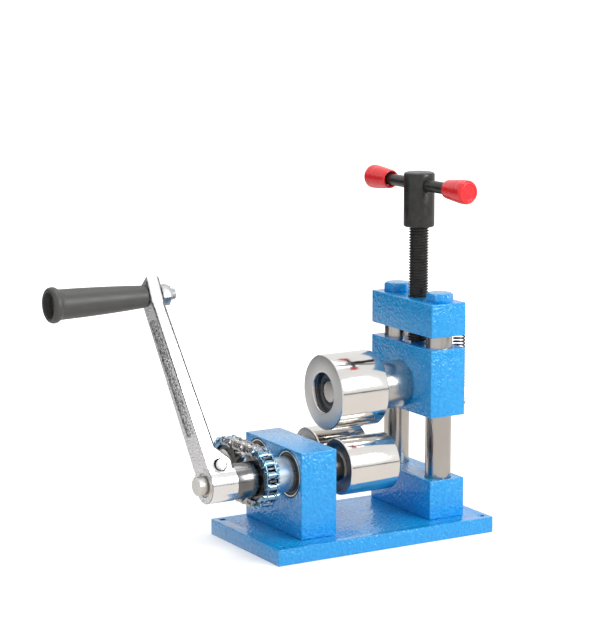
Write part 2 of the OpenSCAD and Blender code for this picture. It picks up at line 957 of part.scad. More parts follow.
module drive_shaft() {
    color(ground_steel)
        at_front_shaft()
            difference() {
                union() {
                    plain_shaft(stub_x1);
                    turned_x([[stub_x0, 0], [stub_x0, stub_d / 2 - shaft_chamfer],
                              [stub_x0 + shaft_chamfer, stub_d / 2], [stub_x1 + cut, stub_d / 2],
                              [stub_x1 + cut, 0]]);
                }
                key_room(0);
                in_crank_plane()
                    cotter_rod(cotter_d + 2 * push_fit, crank_hub_d);
            }
}

// The driven shaft has a head that holds its sprocket
module driven_shaft() {
    disc_x0 = chain_x - sprocket_thickness / 2;
    head_x0 = disc_x0 - shaft_head;
    c = shaft_head_chamfer;
    color(ground_steel)
        at_back_shaft()
            difference() {
                union() {
                    plain_shaft(head_x0 + c);
                    turned_x([[head_x0, 0], [head_x0, hub_od / 2 - c], [head_x0 + c, hub_od / 2],
                              [disc_x0, hub_od / 2], [disc_x0, 0]]);
                }
                key_room(0);
            }
}

// A lower roller: a steel drum with a turned recess in both faces
module lower_roller() {
    r = lower_roller_d / 2;
    bore_r = shaft_d / 2 + push_fit;
    hub_r = ring_seat_d / 2 + roller_hub_wall;
    rim_r = r - face_rim;
    x0 = lower_roller_x0;
    x1 = lower_roller_x1;
    c = roller_chamfer;
    turned_x([[x0, bore_r], [x0, hub_r], [x0 + face_recess, hub_r], [x0 + face_recess, rim_r], [x0, rim_r],
              [x0, r - c], [x0 + c, r], [x1 - c, r], [x1, r - c],
              [x1, rim_r], [x1 - face_recess, rim_r], [x1 - face_recess, hub_r], [x1, hub_r], [x1, bore_r]]);
}

module drive_roller() {
    color(bright_steel)
        at_front_shaft()
            lower_roller();
}

module driven_roller() {
    color(bright_steel)
        at_back_shaft()
            lower_roller();
}

// A sleeve that keeps the crank's hub away from the sprocket
module crank_spacer() {
    color(dark_steel)
        at_front_shaft()
            tube_x(hub_od, shaft_d + 2 * push_fit, hub_x1, chain_x - sprocket_thickness / 2);
}

// Turns what points up so that it lies along the crank
module in_crank_plane() {
    rotate([-crank_lean, 0, 0])
        children();
}

module at_crank() {
    at_front_shaft()
        in_crank_plane()
            children();
}

module at_handle() {
    at_crank()
        translate([0, 0, crank_length])
            children();
}

// A rod across the crank's hub, in the place of the cotter pin
module cotter_rod(d, half) {
    translate([hub_x, half, cotter_z])
        rotate([90, 0, 0])
            cylinder(d = d, h = 2 * half);
}

// The crank seen along the shaft
module crank_outline() {
    circle(d = crank_hub_d);
    polygon([[-arm_root_width / 2, 0], [arm_root_width / 2, 0],
             [arm_tip_width / 2, crank_length + arm_end_back],
             [-arm_tip_width / 2, crank_length + arm_end_front]]);
}

// The crank seen from its side: a thick hub, a flare and an arm that leans outwards
module crank_side() {
    top = crank_length + max(arm_end_front, arm_end_back);
    eye_start = crank_length - eye_run;
    lean = (eye_x0 - hub_x0) / (eye_start - flare_start);
    polygon([[hub_x0, -crank_hub_d / 2], [hub_x1, -crank_hub_d / 2], [hub_x1, flare_start + flare_step],
             [hub_x0 + lean * (flare_end - flare_start) + arm_root_thickness, flare_end],
             [eye_x1, eye_start], [eye_x1, top], [eye_x0, top], [eye_x0, eye_start], [hub_x0, flare_start]]);
}

// The shallow forged panel along the outer face of the arm
module crank_panel() {
    eye_start = crank_length - eye_run;
    rise = eye_start - flare_start;
    slope = atan2(hub_x0 - eye_x0, rise);
    length = crank_length - panel_stop - panel_start;
    translate([hub_x0, 0, flare_start])
        rotate([0, -slope, 0])
            slab_x(-arm_offset, panel_depth)
                translate([0, panel_start - flare_start]) {
                    translate([-panel_width / 2, 0])
                        square([panel_width, length]);
                    circle(d = panel_width);
                    translate([0, length])
                        circle(d = panel_width);
                }
}

module crank_arm() {
    width = 2 * crank_hub_d;
    color(chrome)
        at_crank()
            difference() {
                intersection() {
                    translate([0, width / 2, 0])
                        rotate([90, 0, 0])
                            linear_extrude(width)
                                crank_side();
                    slab_x(eye_x0 - cut, hub_x1 + cut)
                        crank_outline();
                }
                rod_x(shaft_d + 2 * push_fit, hub_x0 - cut, hub_x1 + cut);
                translate([0, 0, crank_length])
                    rod_x(handle_bolt_d + 2 * push_fit, eye_x0 - cut, eye_x1 + cut);
                cotter_rod(cotter_d + 2 * push_fit, crank_hub_d);
                translate([hub_x, crank_hub_d, cotter_z])
                    rotate([90, 0, 0])
                        cylinder(d = cotter_washer_d + cotter_seat_room, h = crank_hub_d - cotter_seat);
                crank_panel();
            }
}

// The cotter pin locks the crank on the shaft. Its round end faces the front
module cotter_pin() {
    front = arm_root_width / 2 + cotter_head;
    shank_end = cotter_seat - cotter_shank_gap;
    c = cotter_chamfer;
    end = cotter_seat + cotter_washer_thickness + cotter_nut_height + cotter_end;
    color(chrome)
        at_crank()
            translate([hub_x, 0, cotter_z])
                rotate([0, 0, 90])
                    turned_x([[-front, 0], [-front, cotter_d / 2 - c], [c - front, cotter_d / 2],
                              [shank_end, cotter_d / 2], [shank_end, cotter_thread_d / 2],
                              [end, cotter_thread_d / 2], [end, 0]]);
}

module cotter_washer() {
    color(bright_steel)
        at_crank()
            translate([hub_x, 0, cotter_z])
                rotate([0, 0, 90])
                    tube_x(cotter_washer_d, cotter_thread_d + 2 * push_fit,
                           cotter_seat, cotter_seat + cotter_washer_thickness);
}

module cotter_nut() {
    start = cotter_seat + cotter_washer_thickness;
    color(bright_steel)
        at_crank()
            translate([hub_x, 0, cotter_z])
                rotate([0, 0, 90])
                    difference() {
                        hex_x(cotter_nut_flats, start, start + cotter_nut_height);
                        rod_x(cotter_thread_d + 2 * push_fit, start - cut, start + cotter_nut_height + cut);
                    }
}

module handle_bolt() {
    color(bright_steel)
        at_handle() {
            hex_x(bolt_flats, sleeve_x0 - bolt_flange - bolt_head, sleeve_x0 - bolt_flange);
            rod_x(bolt_flange_d, sleeve_x0 - bolt_flange, sleeve_x0);
            rod_x(handle_bolt_d, sleeve_x0, eye_x1 + handle_nut_height + bolt_end);
        }
}

// The sleeve takes the bolt's clamping force, so that the grip stays free
module handle_sleeve() {
    color(bright_steel)
        at_handle()
            tube_x(handle_sleeve_d, handle_bolt_d + 2 * push_fit, sleeve_x0, eye_x0);
}

module handle_nut() {
    color(bright_steel)
        at_handle()
            difference() {
                hex_x(handle_nut_flats, eye_x1, eye_x1 + handle_nut_height);
                rod_x(handle_bolt_d + 2 * push_fit, eye_x1 - cut, eye_x1 + handle_nut_height + cut);
            }
}

module handle_grip() {
    bead_r = grip_flange_width / 2;
    color(black_rubber)
        at_handle()
            rotate([0, 90, 0])
                rotate_extrude()
                    difference() {
                        union() {
                            polygon([[0, grip_x0 + bead_r], [grip_outer_d / 2, grip_x0 + bead_r],
                                     [grip_inner_d / 2, grip_x1], [0, grip_x1]]);
                            translate([0, grip_x0])
                                square([grip_flange_d / 2 - bead_r, grip_flange_width]);
                            translate([grip_flange_d / 2 - bead_r, grip_x0 + bead_r])
                                circle(r = bead_r);
                        }
                        translate([0, grip_x0 - cut])
                            square([handle_sleeve_d / 2 + run_fit, grip_length + 2 * cut]);
                        translate([0, grip_x0 - cut])
                            square([grip_hollow_d / 2, grip_hollow_depth + cut]);
                    }
}

module slide_block() {
    color(paint_blue)
        difference() {
            translate([tower_x, block_mid_y, slide_z0])
                chamfered_block(tower_thickness, block_depth, slide_block_height, block_chamfer);
            at_posts()
                translate([0, 0, slide_z0 - cut])
                    cylinder(d = post_d + 2 * run_fit, h = slide_block_height + 2 * cut);
            at_axle()
                rod_x(axle_d + 2 * push_fit, tower_x0 - cut, tower_x1 + cut);
            translate([tower_x, block_mid_y, slide_z1 - seat_depth])
                cylinder(d = screw_tip_d + 2 * run_fit, h = seat_depth + cut);
            spring_screw_holes(spring_z0);
        }
}

// The axle carries the upper roller on one side and is clamped to the slide block by its nut
module upper_axle() {
    collar_x0 = upper_roller_x1 + collar_gap;
    thread_x0 = tower_x1 - axle_relief;
    thread_x1 = tower_x1 + axle_nut_height + axle_end;
    c = axle_chamfer;
    thread_c = axle_thread_chamfer;
    color(ground_steel)
        at_axle()
            turned_x([[upper_bearing_x0, 0], [upper_bearing_x0, axle_d / 2 - c],
                      [upper_bearing_x0 + c, axle_d / 2], [upper_bearing_x3, axle_d / 2],
                      [upper_bearing_x3, axle_boss_d / 2], [collar_x0, axle_boss_d / 2],
                      [collar_x0, axle_collar_d / 2], [tower_x0, axle_collar_d / 2],
                      [tower_x0, axle_d / 2], [thread_x0, axle_d / 2], [thread_x0, axle_thread_d / 2],
                      [thread_x1 - thread_c, axle_thread_d / 2], [thread_x1, axle_thread_d / 2 - thread_c],
                      [thread_x1, 0]]);
}

module upper_axle_nut() {
    color(bright_steel)
        at_axle()
            difference() {
                union() {
                    hex_x(axle_nut_flats, tower_x1, tower_x1 + axle_nut_height);
                    rod_x(axle_nut_flange_d, tower_x1, tower_x1 + axle_nut_flange);
                }
                rod_x(axle_thread_d + 2 * push_fit, tower_x1 - cut, tower_x1 + axle_nut_height + cut);
            }
}

// The upper roller: a drum bored through from the back, with a lip at the front
module upper_roller() {
    r = upper_roller_d / 2;
    seat_r = upper_bearing_od / 2 + push_fit;
    x0 = upper_roller_x0;
    x1 = upper_roller_x1;
    clip_x = upper_bearing_x3 + circlip_thickness + push_fit;
    c = roller_chamfer;
    color(bright_steel)
        at_axle()
            turned_x([[x0, lip_d / 2], [x0, r - c], [x0 + c, r], [x1 - c, r], [x1, r - c], [x1, seat_r],
                      [clip_x, seat_r], [clip_x, seat_r + circlip_grip + push_fit],
                      [upper_bearing_x3, seat_r + circlip_grip + push_fit], [upper_bearing_x3, seat_r],
                      [upper_bearing_x0, seat_r], [upper_bearing_x0, lip_d / 2]]);
}

module upper_bearing_outer_rings() {
    color(bright_steel)
        at_upper_bearings()
            outer_ring(axle_d, upper_bearing_od, upper_bearing_width, upper_ball_d);
}

module upper_bearing_inner_rings() {
    color(bright_steel)
        at_upper_bearings()
            inner_ring(axle_d, upper_bearing_od, upper_bearing_width, upper_ball_d);
}

module upper_bearing_seals() {
    color(black_rubber)
        at_upper_bearings()
            seal_pair(axle_d, upper_bearing_od, upper_bearing_width, upper_ball_d);
}

module upper_bearing_balls() {
    color(chrome)
        at_upper_bearings()
            ball_set(axle_d, upper_bearing_od, upper_ball_d);
}

module upper_bearing_cages() {
    color(brass)
        at_upper_bearings()
            ball_cage(axle_d, upper_bearing_od, upper_bearing_width, upper_ball_d);
}

// A tube between the outer rings of the upper roller's bearings
module upper_bearing_spacer() {
    color(dark_steel)
        at_axle()
            tube_x(upper_bearing_od, upper_bearing_od - 2 * spacer_wall, upper_bearing_x1, upper_bearing_x2);
}

// A snap ring with its gap, in the groove behind the upper roller's bearings
module upper_circlip() {
    outer_d = upper_bearing_od + 2 * circlip_grip;
    color(dark_steel)
        at_axle()
            slab_x(upper_bearing_x3, upper_bearing_x3 + circlip_thickness)
                difference() {
                    circle(d = outer_d);
                    circle(d = outer_d - 2 * (circlip_grip + circlip_width));
                    translate([-circlip_opening / 2, -outer_d])
                        square([circlip_opening, outer_d]);
                }
}

// The thread is drawn as a row of grooves, one to each pitch
module lead_screw() {
    r = screw_d / 2;
    turns = floor((head_z0 - screw_z0) / screw_pitch);
    root_r = r - thread_depth;
    half_crest = thread_crest / 2;
    tip_z = slide_z1 - seat_depth + tip_gap;
    thread = [for (i = [0 : turns - 1])
        let (z = screw_z0 + i * screw_pitch)
        each [[root_r, z + half_crest], [r, z + screw_pitch / 2 - half_crest],
              [r, z + screw_pitch / 2 + half_crest], [root_r, z + screw_pitch - half_crest]]];
    color(black_oxide)
        translate([tower_x, block_mid_y, 0])
            rotate_extrude()
                polygon(concat([[0, tip_z], [screw_tip_d / 2 - tip_chamfer, tip_z],
                                [screw_tip_d / 2, tip_z + tip_chamfer], [screw_tip_d / 2, screw_z0],
                                [root_r, screw_z0]],
                               thread,
                               [[root_r, head_z0], [screw_spigot_d / 2, head_z0],
                                [screw_spigot_d / 2, head_z0 + screw_spigot], [0, head_z0 + screw_spigot]]));
}

module at_bar() {
    translate([tower_x, block_mid_y, bar_z])
        rotate([0, 0, bar_turn])
            children();
}

module screw_head() {
    r = screw_head_d / 2;
    c = head_chamfer;
    color(black_oxide)
        difference() {
            translate([tower_x, block_mid_y, 0])
                rotate_extrude()
                    polygon([[0, head_z0], [r - c / 2, head_z0], [r, head_z0 + c / 2],
                             [r, head_z1 - c], [r - c, head_z1], [0, head_z1]]);
            translate([tower_x, block_mid_y, head_z0 - cut])
                cylinder(d = screw_spigot_d + 2 * push_fit, h = screw_spigot + cut);
            at_bar()
                rod_x(bar_d + 2 * push_fit, -screw_head_d, screw_head_d);
        }
}

module cross_bar() {
    half = bar_span / 2 - bar_grip_length + bar_grip_depth;
    c = bar_chamfer;
    color(black_oxide)
        at_bar()
            turned_x([[-half, 0], [-half, bar_d / 2 - c], [c - half, bar_d / 2],
                      [half - c, bar_d / 2], [half, bar_d / 2 - c], [half, 0]]);
}

// Two tapered grips, hollow at the mouth and dished at the end
module bar_grips() {
    bore_r = bar_d / 2 + push_fit;
    end = bar_span / 2;
    mouth = end - bar_grip_length;
    end_r = bar_grip_end_d / 2;
    rim_r = end_r - bar_grip_chamfer;
    hollow = mouth + bar_grip_hollow;
    hollow_r = bar_grip_hollow_d / 2;
    color(grip_red)
        at_bar()
            for (side = [0, 180])
                rotate([0, 0, side])
                    turned_x([[mouth, hollow_r], [mouth, bar_grip_mouth_d / 2], [end - bar_grip_band, end_r],
                              [end - bar_grip_chamfer, end_r], [end, rim_r],
                              [end - dish_depth, rim_r - dish_rim], [end - dish_depth, 0],
                              [mouth + bar_grip_depth, 0], [mouth + bar_grip_depth, bore_r],
                              [hollow, bore_r], [hollow, hollow_r]]);
}

// Two screws at a height, driven deeper than the full shank by the amount sunk
module spring_screws(z, sunk) {
    shank = spring_x - tower_x1 + spring_wire / 2 + spring_screw_room - sunk;
    end = shank + spring_screw_head;
    c = spring_screw_chamfer;
    color(bright_steel)
        for (side = [-1, 1])
            translate([tower_x1, block_mid_y + side * spring_offset, z])
                turned_x([[-spring_screw_bite, 0], [-spring_screw_bite, spring_screw_d / 2],
                          [shank, spring_screw_d / 2], [shank, spring_screw_head_d / 2],
                          [end - c, spring_screw_head_d / 2], [end, spring_screw_head_d / 2 - c], [end, 0]]);
}

module upper_spring_screws() {
    spring_screws(spring_z1, upper_screw_sunk);
}

module lower_spring_screws() {
    spring_screws(spring_z0, 0);
}

// The wire of one return spring, about the spring's own axis: the lower hook, which starts at
// its open end and runs round its screw, a leg, the curls, a leg and the upper hook
hook_steps = 10;
coil_z0 = spring_z0 + spring_leg;
coil_z1 = spring_z1 - upper_leg;
function lower_hook() = [for (i = [0 : hook_steps])
    let (a = hook_start + i * hook_turn / hook_steps)
    [0, hook_r * cos(a), spring_z0 + hook_r * sin(a)]];
function upper_hook() = [for (i = [0 : hook_steps])
    let (a = i * hook_turn / hook_steps)
    [0, hook_r * cos(a), spring_z1 + hook_r * sin(a)]];
function curls() = [for (i = [0 : spring_curls * curl_steps])
    let (a = 90 + i * 360 / curl_steps, t = i / (spring_curls * curl_steps))
    [spring_r * cos(a), spring_r * sin(a), coil_z0 + t * (coil_z1 - coil_z0)]];
function spring_path() = concat(
    lower_hook(),
    [[0, hook_r, coil_z0 - bend_rise]],
    curls(),
    [[0, hook_r, coil_z1 + bend_rise]],
    upper_hook());

// Sweeps a round wire along points: each ring's first spoke is carried on from the ring before
function unit(v) = v / norm(v);
function headings(path) = [for (i = [0 : len(path) - 1])
    unit(path[min(i + 1, len(path) - 1)] - path[max(i - 1, 0)])];
function square_to(v, heading) = unit(v - (v * heading) * heading);
function spokes(h) = [for (i = 0, s = square_to([1, 0, 0], h[0]); i < len(h);
    i = i + 1, s = i < len(h) ? square_to(s, h[i]) : s) s];

module wire(path, d, sides) {
    h = headings(path);
    s = spokes(h);
    n = len(path);
    points = [for (i = [0 : n - 1], k = [0 : sides - 1])
        let (a = k * 360 / sides)
        path[i] + d / 2 * (cos(a) * s[i] + sin(a) * cross(h[i], s[i]))];
    walls = [for (i = [0 : n - 2], k = [0 : sides - 1])
        let (a = i * sides + k, b = i * sides + (k + 1) % sides)
        each [[a, a + sides, b], [b, a + sides, b + sides]]];
    first = [for (k = [1 : sides - 2]) [0, k, k + 1]];
    end = (n - 1) * sides;
    last = [for (k = [1 : sides - 2]) [end, end + k + 1, end + k]];
    polyhedron(points, concat(walls, first, last), convexity = 10);
}

// Least gap between stretches of wire that are more than half a curl apart
function least_gap(path, d) = min([for (i = [0 : len(path) - 1])
    for (j = [i + curl_steps / 2 + 2 : 1 : len(path) - 1]) norm(path[i] - path[j])]) - d;
echo(least_gap_of_return_spring = least_gap(spring_path(), spring_wire));

module return_spring(side) {
    color(dark_steel)
        translate([spring_x, block_mid_y + side * spring_offset, 0])
            wire(spring_path(), spring_wire, wire_sides);
}

module front_return_spring() {
    return_spring(-1);
}

module back_return_spring() {
    return_spring(1);
}

base_plate();
bearing_block();
post_block();
top_block();
front_guide_post();
back_guide_post();
base_screws();
top_bolts();
drive_bearing_outer_rings();
driven_bearing_outer_rings();
bearing_seals();
chain_outer_plates();
chain_inner_plates();
chain_rollers();
chain_bushes();
chain_pins();
upper_spring_screws();
front_return_spring();
back_return_spring();
drive_shaft();
drive_roller();
drive_sprocket();
drive_key();
crank_spacer();
drive_bearing_inner_rings();
crank_arm();
cotter_pin();
cotter_washer();
cotter_nut();
handle_bolt();
handle_sleeve();
handle_nut();
handle_grip();
drive_bearing_balls();
drive_bearing_cages();
driven_shaft();
driven_roller();
driven_sprocket();
driven_key();
driven_bearing_inner_rings();
driven_bearing_balls();
driven_bearing_cages();
slide_block();
upper_axle();
upper_axle_nut();
upper_bearing_inner_rings();
lower_spring_screws();
upper_roller();
upper_bearing_outer_rings();
upper_bearing_seals();
upper_bearing_spacer();
upper_circlip();
upper_bearing_balls();
upper_bearing_cages();
lead_screw();
screw_head();
cross_bar();
bar_grips();
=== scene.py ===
# %% [markdown]
# # Dressing a ring bending machine
# The machine bends strip into rings between three steel rollers. Its solids come from the packed
# model, which is loaded here as a fixed frame in metres: +X runs along the shafts from the crank to
# the tower, +Y from the front roller to the back roller and +Z up. This lesson gives the machine
# its studio, its finishes and the rounded, turned and coiled shapes that plain solids lack.

# %% Load the frame
import json
import math
import bpy
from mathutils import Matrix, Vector

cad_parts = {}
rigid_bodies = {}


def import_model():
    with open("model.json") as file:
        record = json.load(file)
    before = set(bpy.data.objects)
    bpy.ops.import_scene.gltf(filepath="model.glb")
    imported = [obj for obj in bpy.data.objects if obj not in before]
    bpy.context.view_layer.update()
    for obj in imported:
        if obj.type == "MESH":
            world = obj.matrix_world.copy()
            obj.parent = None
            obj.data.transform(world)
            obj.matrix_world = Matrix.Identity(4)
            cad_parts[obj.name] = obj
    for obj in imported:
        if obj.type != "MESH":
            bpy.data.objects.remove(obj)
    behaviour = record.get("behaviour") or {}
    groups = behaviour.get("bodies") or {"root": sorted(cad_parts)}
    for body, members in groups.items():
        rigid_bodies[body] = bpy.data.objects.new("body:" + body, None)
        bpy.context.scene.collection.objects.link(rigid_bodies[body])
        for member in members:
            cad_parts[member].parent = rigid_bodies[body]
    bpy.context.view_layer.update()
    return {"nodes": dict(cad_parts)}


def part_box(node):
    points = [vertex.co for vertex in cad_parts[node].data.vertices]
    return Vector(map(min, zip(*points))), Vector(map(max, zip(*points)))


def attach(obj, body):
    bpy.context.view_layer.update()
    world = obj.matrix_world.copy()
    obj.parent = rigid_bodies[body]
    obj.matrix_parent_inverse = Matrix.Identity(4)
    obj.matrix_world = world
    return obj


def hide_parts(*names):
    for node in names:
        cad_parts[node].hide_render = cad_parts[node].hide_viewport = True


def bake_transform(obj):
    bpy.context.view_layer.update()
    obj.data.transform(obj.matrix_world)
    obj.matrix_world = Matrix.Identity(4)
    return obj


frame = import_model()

mm = 0.001

# %% [markdown]
# ## The camera
# The photograph was taken with a long lens from a little above, about thirty degrees round from the
# front. The place, the aim and the lens were worked out from the edges of the base plate and the
# blocks. A camera could be aimed with a Track To constraint, but a turn that is set once is enough.

# %% Camera
camera_place = Vector((-1.0650, -1.72036, 0.5585))
camera_aim = Vector((-0.03719, 0.03196, 0.18977))
bpy.ops.object.camera_add(location=camera_place)
camera = bpy.context.object
camera.rotation_euler = (camera_aim - camera_place).to_track_quat("-Z", "Y").to_euler()
camera.data.sensor_fit = "VERTICAL"
camera.data.sensor_height = 36
camera.data.lens = 131.38
bpy.context.scene.camera = camera
print("camera stands", round((camera_aim - camera_place).length, 3), "m from the machine")

# %% [markdown]
# ## Nodes in a few words
# Every finish here is a small graph of shader nodes. Adding a node, setting its values and linking it
# takes many lines, so one helper does the three together. A value that is itself a socket is linked,
# and any other value is set on the node.

# %% A helper for shader nodes
def add_node(tree, kind, inputs=None, **settings):
    new = tree.nodes.new(kind)
    for name, value in settings.items():
        setattr(new, name, value)
    for name, value in (inputs or {}).items():
        if isinstance(value, bpy.types.NodeSocket):
            tree.links.new(value, new.inputs[name])
        else:
            new.inputs[name].default_value = value
    return new

# %% [markdown]
# ## The studio
# The machine stands on a white floor in a white room. The world is a plain white that lights softly.
# The floor is a pale matt plane, so that the shadow of the machine shows, with a light of its own for
# the camera. That light grows with the distance, so the floor melts into the room and no horizon shows.
# In a mirror the floor is a plain warm white.

# %% White room and floor
bpy.context.scene.view_settings.view_transform = "Standard"
room = bpy.data.worlds.new("white_room")
bpy.context.scene.world = room
room.use_nodes = True
room.node_tree.nodes.clear()
path = add_node(room.node_tree, "ShaderNodeLightPath")
seen = add_node(room.node_tree, "ShaderNodeMath", {0: path.outputs["Is Camera Ray"],
                1: path.outputs["Is Transmission Ray"]}, operation="MAXIMUM")
mirrored = add_node(room.node_tree, "ShaderNodeMath", {0: seen.outputs[0],
                    1: path.outputs["Is Glossy Ray"]}, operation="MAXIMUM")
soft_light = add_node(room.node_tree, "ShaderNodeBackground", {"Color": (1, 1, 1, 1), "Strength": 0.52})
white_wall = add_node(room.node_tree, "ShaderNodeBackground", {"Color": (1, 1, 1, 1), "Strength": 1.0})
room_mix = add_node(room.node_tree, "ShaderNodeMixShader", {0: mirrored.outputs[0],
                    1: soft_light.outputs[0], 2: white_wall.outputs[0]})
add_node(room.node_tree, "ShaderNodeOutputWorld", {"Surface": room_mix.outputs[0]})

bpy.ops.mesh.primitive_plane_add(size=40, location=(0, 0, -0.0003))
floor = bpy.context.object
floor.name = "studio_floor"
floor_finish = bpy.data.materials.new("floor_white")
floor_finish.use_nodes = True
floor_tree = floor_finish.node_tree
floor_tree.nodes.clear()
path = add_node(floor_tree, "ShaderNodeLightPath")
matt = add_node(floor_tree, "ShaderNodeBsdfDiffuse", {"Color": (0.86, 0.86, 0.86, 1)})
spot = add_node(floor_tree, "ShaderNodeTexCoord")
away = add_node(floor_tree, "ShaderNodeVectorMath", {0: spot.outputs["Object"]}, operation="LENGTH")
glow = add_node(floor_tree, "ShaderNodeMapRange", {"Value": away.outputs["Value"], "From Min": 0.15,
                "From Max": 0.8, "To Min": 0.44, "To Max": 1.0})
lift = add_node(floor_tree, "ShaderNodeMath", {0: path.outputs["Is Camera Ray"], 1: glow.outputs["Result"]},
                operation="MULTIPLY")
own_light = add_node(floor_tree, "ShaderNodeEmission", {"Color": (1, 1, 1, 1), "Strength": lift.outputs[0]})
both = add_node(floor_tree, "ShaderNodeAddShader", {0: matt.outputs[0], 1: own_light.outputs[0]})
warm = add_node(floor_tree, "ShaderNodeEmission", {"Color": (0.96, 0.91, 0.86, 1), "Strength": 1.0})
floor_look = add_node(floor_tree, "ShaderNodeMixShader", {0: path.outputs["Is Glossy Ray"], 1: both.outputs[0],
                      2: warm.outputs[0]})
add_node(floor_tree, "ShaderNodeOutputMaterial", {"Surface": floor_look.outputs[0]})
floor.data.materials.append(floor_finish)
print("room and floor are white")

# %% [markdown]
# Polished steel only shows what stands round it, and in a room that is white all over a roller would
# look like paper. A photographer hangs cards round the machine: a thin dark strip at the level of the
# horizon, which draws one sharp line along each roller, a soft strip overhead and grey cards behind and
# on the floor, which calm the faces that look that way. The card on the floor at the left grows darker with
# the distance. The cards are seen in mirrors alone, so they throw no shade and hide nothing from the camera.

# %% Soft lamps and dark cards
machine_heart = Vector((0, 0, 0.12))

def soft_lamp(name, place, size, watts):
    bpy.ops.object.light_add(type="AREA", location=place)
    lamp = bpy.context.object
    lamp.name = name
    lamp.rotation_euler = (machine_heart - Vector(place)).to_track_quat("-Z", "Y").to_euler()
    lamp.data.size = size
    lamp.data.energy = watts

soft_lamp("front_lamp", (0.75, -1.6, 1.0), 0.9, 21)
soft_lamp("top_lamp", (0.2, 0.1, 1.7), 1.0, 8)

def grey_card(name, place, width, height, shade, far_shade=None, on_floor=False):
    bpy.ops.mesh.primitive_plane_add(size=1, location=place)
    card = bpy.context.object
    card.name = name
    card.scale = (width, height, 1)
    if not on_floor:
        card.rotation_euler = (machine_heart - Vector(place)).to_track_quat("Z", "Y").to_euler()
    finish = bpy.data.materials.new(name + "_grey")
    finish.use_nodes = True
    finish.node_tree.nodes.clear()
    spot = add_node(finish.node_tree, "ShaderNodeTexCoord").outputs["Object"]
    across = add_node(finish.node_tree, "ShaderNodeSeparateXYZ", {0: spot}).outputs["Y"]
    fade = add_node(finish.node_tree, "ShaderNodeMapRange", {"Value": across, "From Min": -0.5, "From Max": 0.5,
                    "To Min": shade, "To Max": far_shade or shade})
    light = add_node(finish.node_tree, "ShaderNodeEmission", {"Color": (1, 1, 1, 1),
                     "Strength": fade.outputs["Result"]})
    add_node(finish.node_tree, "ShaderNodeOutputMaterial", {"Surface": light.outputs[0]})
    card.data.materials.append(finish)
    for ray in ("camera", "diffuse", "transmission", "volume_scatter", "shadow"):
        setattr(card, "visible_" + ray, False)

grey_card("horizon_strip", (0.9, -2.2, 0.14), 4.5, 0.14, 0.02)
grey_card("overhead_strip", (0.75, 0.0, 1.35), 0.16, 2.2, 0.35)
grey_card("left_card", (-0.75, 1.35, 0.3), 2.2, 0.7, 0.04)
grey_card("floor_card", (-0.80, 0.72, 0.001), 1.36, 1.2, 0.95, 0.10, on_floor=True)
grey_card("side_card", (0.80, 0.50, 0.001), 1.2, 0.5, 0.30, on_floor=True)
print("two lamps and five cards")

# %% [markdown]
# ## Shared surface effects
# Two effects appear on many finishes, so each is a shader node group. The first is the mark that a
# lathe leaves: fine rings round the axis on a turned side, and rings about the middle on a flat end.
# A noise along the axis gives the first, and a noise along the radius gives the second.

# %% Lathe marks as a node group
def new_group(name, inputs, outputs):
    group = bpy.data.node_groups.new(name, "ShaderNodeTree")
    for label, kind, value in inputs:
        socket = group.interface.new_socket(label, in_out="INPUT", socket_type=kind)
        if value is not None:
            socket.default_value = value
    for label, kind in outputs:
        group.interface.new_socket(label, in_out="OUTPUT", socket_type=kind)
    return group, group.nodes.new("NodeGroupInput"), group.nodes.new("NodeGroupOutput")

lathe_marks, given, made = new_group(
    "lathe_marks",
    [("Position", "NodeSocketVector", None), ("Centre", "NodeSocketVector", (0, 0, 0)),
     ("Fineness", "NodeSocketFloat", 4000.0)],
    [("Height", "NodeSocketFloat"), ("Sheen", "NodeSocketFloat")])
offset = add_node(lathe_marks, "ShaderNodeVectorMath", {0: given.outputs["Position"],
                  1: given.outputs["Centre"]}, operation="SUBTRACT")
parts = add_node(lathe_marks, "ShaderNodeSeparateXYZ", {0: offset.outputs[0]})
flat = add_node(lathe_marks, "ShaderNodeCombineXYZ", {1: parts.outputs[1], 2: parts.outputs[2]})
radius = add_node(lathe_marks, "ShaderNodeVectorMath", {0: flat.outputs[0]}, operation="LENGTH")
along_w = add_node(lathe_marks, "ShaderNodeMath", {0: parts.outputs[0], 1: given.outputs["Fineness"]},
                   operation="MULTIPLY")
radius_w = add_node(lathe_marks, "ShaderNodeMath", {0: radius.outputs["Value"], 1: given.outputs["Fineness"]},
                    operation="MULTIPLY")
along_noise = add_node(lathe_marks, "ShaderNodeTexNoise", {"W": along_w.outputs[0], "Scale": 1.0,
                       "Detail": 3.0}, noise_dimensions="1D")
radius_noise = add_node(lathe_marks, "ShaderNodeTexNoise", {"W": radius_w.outputs[0], "Scale": 1.0,
                        "Detail": 3.0}, noise_dimensions="1D")
rings = add_node(lathe_marks, "ShaderNodeMath", {0: along_noise.outputs[0], 1: radius_noise.outputs[0]},
                 operation="ADD")
cloudy = add_node(lathe_marks, "ShaderNodeTexNoise", {"Vector": given.outputs["Position"], "Scale": 55.0,
                  "Detail": 3.0})
sheen = add_node(lathe_marks, "ShaderNodeMath", {0: rings.outputs[0], 1: cloudy.outputs[0]}, operation="MULTIPLY")
lathe_marks.links.new(rings.outputs[0], made.inputs["Height"])
lathe_marks.links.new(sheen.outputs[0], made.inputs["Sheen"])
print("group", lathe_marks.name)

# %% [markdown]
# The second effect is a mottle: a broad cloud and a fine grain. It breaks up the gloss of paint, of
# rubber and of oiled steel, which are never quite even.

